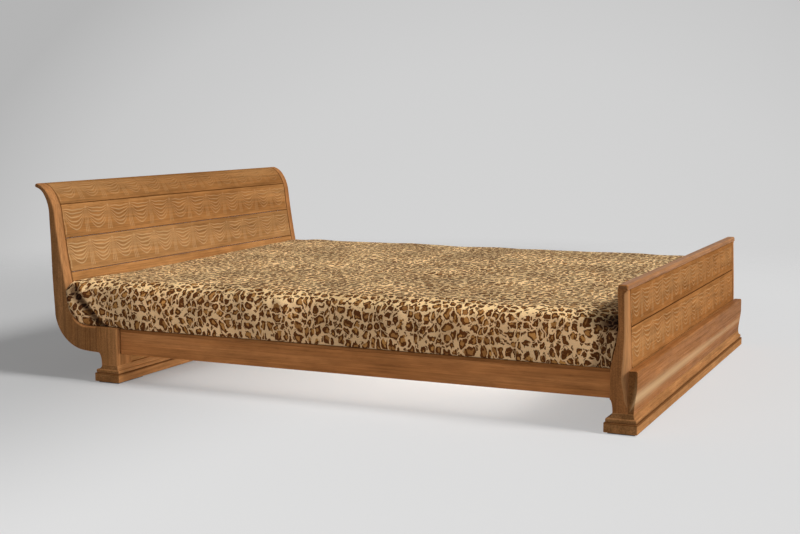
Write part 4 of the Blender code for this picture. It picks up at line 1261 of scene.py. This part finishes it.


# Dressing of the blown-up cover: upright ripples on its long sides, a sway of the upper edge, a low swell on
# top, a tuck at each corner, and a lower edge that is pressed flat and drops over the rails. It also gives
# fold, the painted shade of the tucks, the corners and the lower edge.
def dressCover(points, normals):
    x, y, z = points.T
    tall = bedHigh[2] - bedLow[2]
    level = np.clip((z - bedLow[2]) / tall, 0, 1)
    upperHalf = risen(level, 0.5, 0.5)
    onSide = risen(np.abs(normals[:, 1]), *pad["facing"])
    onTop = risen(normals[:, 2], *pad["facing"])
    inward = bedHigh[1] - np.abs(y)
    onEdge = fallen(inward, *pad["edgeBand"])
    place = x + np.where(y < 0, 0.0, pad["otherSide"])
    high, shortest, longest = pad["ripple"]
    strength = 0.5 + 0.5 * wavyLine(place, *pad["rippleStrength"], 0)
    bulge = high * strength * wavyLine(place + pad["rippleSlant"] * level, shortest, longest, 1)
    full, end, over = pad["rippleBand"]
    bulge = bulge * risen(level, 0, full) * fallen(level, end, over)
    # painted shadow along the lower edge of the cover
    fold = np.where(x < legHigh[0], pad["hemShadow"][1], pad["hemShadow"][0]) * fallen(level, *pad["hemShadowBand"])
    full, end, over = pad["fillBand"]
    inFill = onEdge * risen(level, 0, full) * fallen(level, end, over)
    moved = points.copy()
    for away, tuck in ((x - headEndAt(z), pad["headTuck"]), (footInnerAt(z) - x, pad["footTuck"])):
        part = tuckAt(tuck, away, np.maximum(inward, 0), np.sign(x), level * tall, level)
        bulge = bulge + part["bulge"]
        # painted shade of the tucks and the corners
        fold = np.maximum(fold, np.maximum(part["dark"] * onSide, part["shade"]))
        moved += np.column_stack([part["snug"] * onEdge, np.sign(y) * part["push"] * inFill, -part["sag"]])
    moved += normals * (bulge * onSide)[:, None]
    high, shortest, longest = pad["sway"]
    rise = high * bell(inward, pad["swayReach"]) * upperHalf * wavyLine(place, shortest, longest, 2)
    high, shortest, longest = pad["swell"]
    swell = wavyLine(x + 0.5 * y, shortest, longest, 3) * wavyLine(y - 0.3 * x, shortest, longest, 4)
    lift = pad["lift"] * risen(y / bedHigh[1], *pad["liftBand"]) * upperHalf
    start, over, drop = pad["overRail"]
    lap = drop * risen(np.abs(y), start, over) * risen(x, legHigh[0], 0.01)
    pressed = (lap + pad["press"]) * fallen(level, *pad["pressBand"])
    moved[:, 2] += rise + lift + high * swell * onTop - pressed
    moved[:, 2] = np.maximum(moved[:, 2], bedLow[2] - lap)
    headEnd = headEndAt(moved[:, 2]) + pad["room"]
    footEnd = np.minimum(footInnerAt(moved[:, 2]), capLow[0]) - pad["room"]
    moved[:, 0] = np.clip(moved[:, 0], headEnd, footEnd)
    return moved, fold


# The mesh divided once more by Subdivision Surface
def divided(mesh):
    guide = linked("padGuide", mesh)
    guide.modifiers.new("soft", "SUBSURF").levels = 1
    dense = bpy.data.meshes.new_from_object(guide.evaluated_get(bpy.context.evaluated_depsgraph_get()))
    bpy.data.objects.remove(guide)
    return dense


# The mattress: no point of its cover moves further in the cloth run than the reach
def buildPad():
    lattice, quads, sideOf = boxLattice(pad["cells"])
    points = padShape(lattice)
    mesh = meshFrom("coverCage", points, [quads])
    layer = mesh.uv_layers.new(name="print")
    layer.data.foreach_set("uv", unfolded(points, quads, sideOf).astype(np.float32).ravel())
    step = blowUp(mesh) - points
    far = np.maximum(np.linalg.norm(step, axis=1, keepdims=True), 1e-9)
    blown = points + step * np.minimum(1, pad["reach"] / far)
    mesh.vertices.foreach_set("co", blown.astype(np.float32).ravel())
    mesh.update()
    print("cover blown up by", round(float(far.mean()) * 1000, 1), "mm on average")
    dense = divided(mesh)
    dense.name = "mattressCover"
    normals = readVectors(dense.vertex_normals, "vector")
    dressed, fold = dressCover(readVectors(dense.vertices, "co"), normals)
    dense.vertices.foreach_set("co", dressed.astype(np.float32).ravel())
    dense.update()
    dense.shade_smooth()
    # fold carries the painted shade to the cover's colour
    addFloats(dense, "fold", fold)
    piece = addPiece("mattress", dense, spottedVelvet, "mattress")
    print("cover:", len(dense.polygons), "faces")


buildPad()


studio = {
    "cameraPlace": (1.965, -4.443, 0.907),
    "cameraTilt": 90 - 6.541,
    "cameraTurn": 24.418,
    "lens": 59.235,
    "floor": (0.62, 0.62, 0.62),
    "floorSeen": ((-1.1, 0.42), (0.2, 0.97)),   # shade by the way along the bed
    "seenShare": 0.40,       # how far the floor is lightened to the camera, so that shadows stay soft
    "floorFade": (2.4, 5.2),
    "brightWay": (-0.322, 0.911, -0.259),
    "backdrop": ((0.895, 0.46), (0.925, 0.575), (0.955, 0.63), (0.985, 0.655)),   # by nearness to it
    "ambient": (0.16, 0.16, 0.16),
    "sunWay": (0.755, 0.02, 0.65),
    "sunStrength": 3.05,
    "sunAngle": 18,
    "lamps": {
        "front": {"place": (-0.2, -6.0, 1.3), "aim": (0.0, -0.5, 0.3), "size": (4.0, 2.0), "power": 80},
        "low": {"place": (0.25, 0.3, 0.085), "aim": (-0.75, -0.45, -0.1), "size": (0.8, 0.05), "power": 10},
        "under": {"place": (0.0, 0.0, 0.098), "aim": (0.0, 0.0, 0.0), "size": (1.3, 1.52), "power": 3.8},
    },
}


def addLamp(name, place, aim, size, power):
    lamp = bpy.data.lights.new(name, "AREA")
    lamp.shape = "RECTANGLE"
    lamp.size, lamp.size_y = size
    lamp.energy = power
    holder = linked(name, lamp)
    holder.location = place
    way = Vector(aim) - Vector(place)
    holder.rotation_euler = way.to_track_quat("-Z", "Y").to_euler()
    holder.visible_camera = False


def buildStudio():
    camera = linked("camera", bpy.data.cameras.new("camera"))
    camera.data.lens = studio["lens"]
    camera.location = studio["cameraPlace"]
    camera.rotation_euler = (math.radians(studio["cameraTilt"]), 0, math.radians(studio["cameraTurn"]))
    bpy.context.scene.camera = camera
    sun = linked("keyLamp", bpy.data.lights.new("keyLamp", "SUN"))
    sun.data.energy = studio["sunStrength"]
    sun.data.angle = math.radians(studio["sunAngle"])
    sun.rotation_euler = Vector(studio["sunWay"]).to_track_quat("Z", "Y").to_euler()
    for name, settings in studio["lamps"].items():
        addLamp(f"{name}Lamp", **settings)


# 1 for rays from the camera, in gloss or through glass, 0 for light
def seenRays(tree):
    path = addNode(tree, "LightPath").outputs
    either = mathOf(tree, "MAXIMUM", path["Is Camera Ray"], path["Is Glossy Ray"])
    return mathOf(tree, "MAXIMUM", either, path["Is Transmission Ray"])


def mixShaders(tree, share, first, second):
    return addNode(tree, "MixShader", {0: share, 1: first, 2: second}).outputs[0]


# Floor disc: a ring of points; it fades out to the backdrop with the distance from the middle
def buildFloor():
    turn = np.linspace(0, 2 * math.pi, 64, endpoint=False)
    reach = studio["floorFade"][1] * 1.1
    ring = np.column_stack([np.cos(turn) * reach, np.sin(turn) * reach, turn * 0])
    mesh = bpy.data.meshes.new("floor")
    mesh.from_pydata(ring.tolist(), [], [list(range(len(ring)))])
    floor = linked("floor", mesh)
    material, tree, shader = newMaterial(
        "paleFloor", Roughness=0.9, Specular_IOR_Level=0.1, Base_Color=(*studio["floor"], 1)
    )
    place = objectPlace(tree)
    fade = rangeOf(tree, vectorOf(tree, "LENGTH", {0: place}, "Value"), *studio["floorFade"])
    (left, leftShade), (right, rightShade) = studio["floorSeen"]
    along = addNode(tree, "SeparateXYZ", {0: place}).outputs["X"]
    seenShade = rangeOf(tree, along, left, right, leftShade, rightShade)
    seen = addNode(tree, "Emission", {"Strength": seenShade}).outputs[0]
    share = mathOf(tree, "MULTIPLY", seenRays(tree), studio["seenShare"])
    clear = addNode(tree, "BsdfTransparent").outputs[0]
    mixed = mixShaders(tree, fade, mixShaders(tree, share, shader.outputs[0], seen), clear)
    tree.links.new(mixed, tree.nodes["Material Output"].inputs["Surface"])
    mesh.materials.append(material)


# Backdrop: seen by the camera and in gloss as a pale shade that falls off from the bright way; as light,
# even grey
def buildWorld():
    world = bpy.data.worlds.new("studio")
    world.use_nodes = True
    bpy.context.scene.world = world
    tree = world.node_tree
    way = addNode(tree, "TexCoord").outputs["Generated"]
    bright = Vector(studio["brightWay"]).normalized()
    shade = rampOf(tree, vectorOf(tree, "DOT_PRODUCT", {0: way, 1: bright}, "Value"), studio["backdrop"])
    seen = addNode(tree, "Background", {"Color": shade, "Strength": 1.0}).outputs[0]
    light = addNode(tree, "Background", {"Color": studio["ambient"]}).outputs[0]
    mixed = mixShaders(tree, seenRays(tree), light, seen)
    tree.links.new(mixed, tree.nodes["World Output"].inputs["Surface"])


buildStudio()
buildFloor()
buildWorld()
bpy.context.scene.view_settings.view_transform = "Standard"
print("studio done")
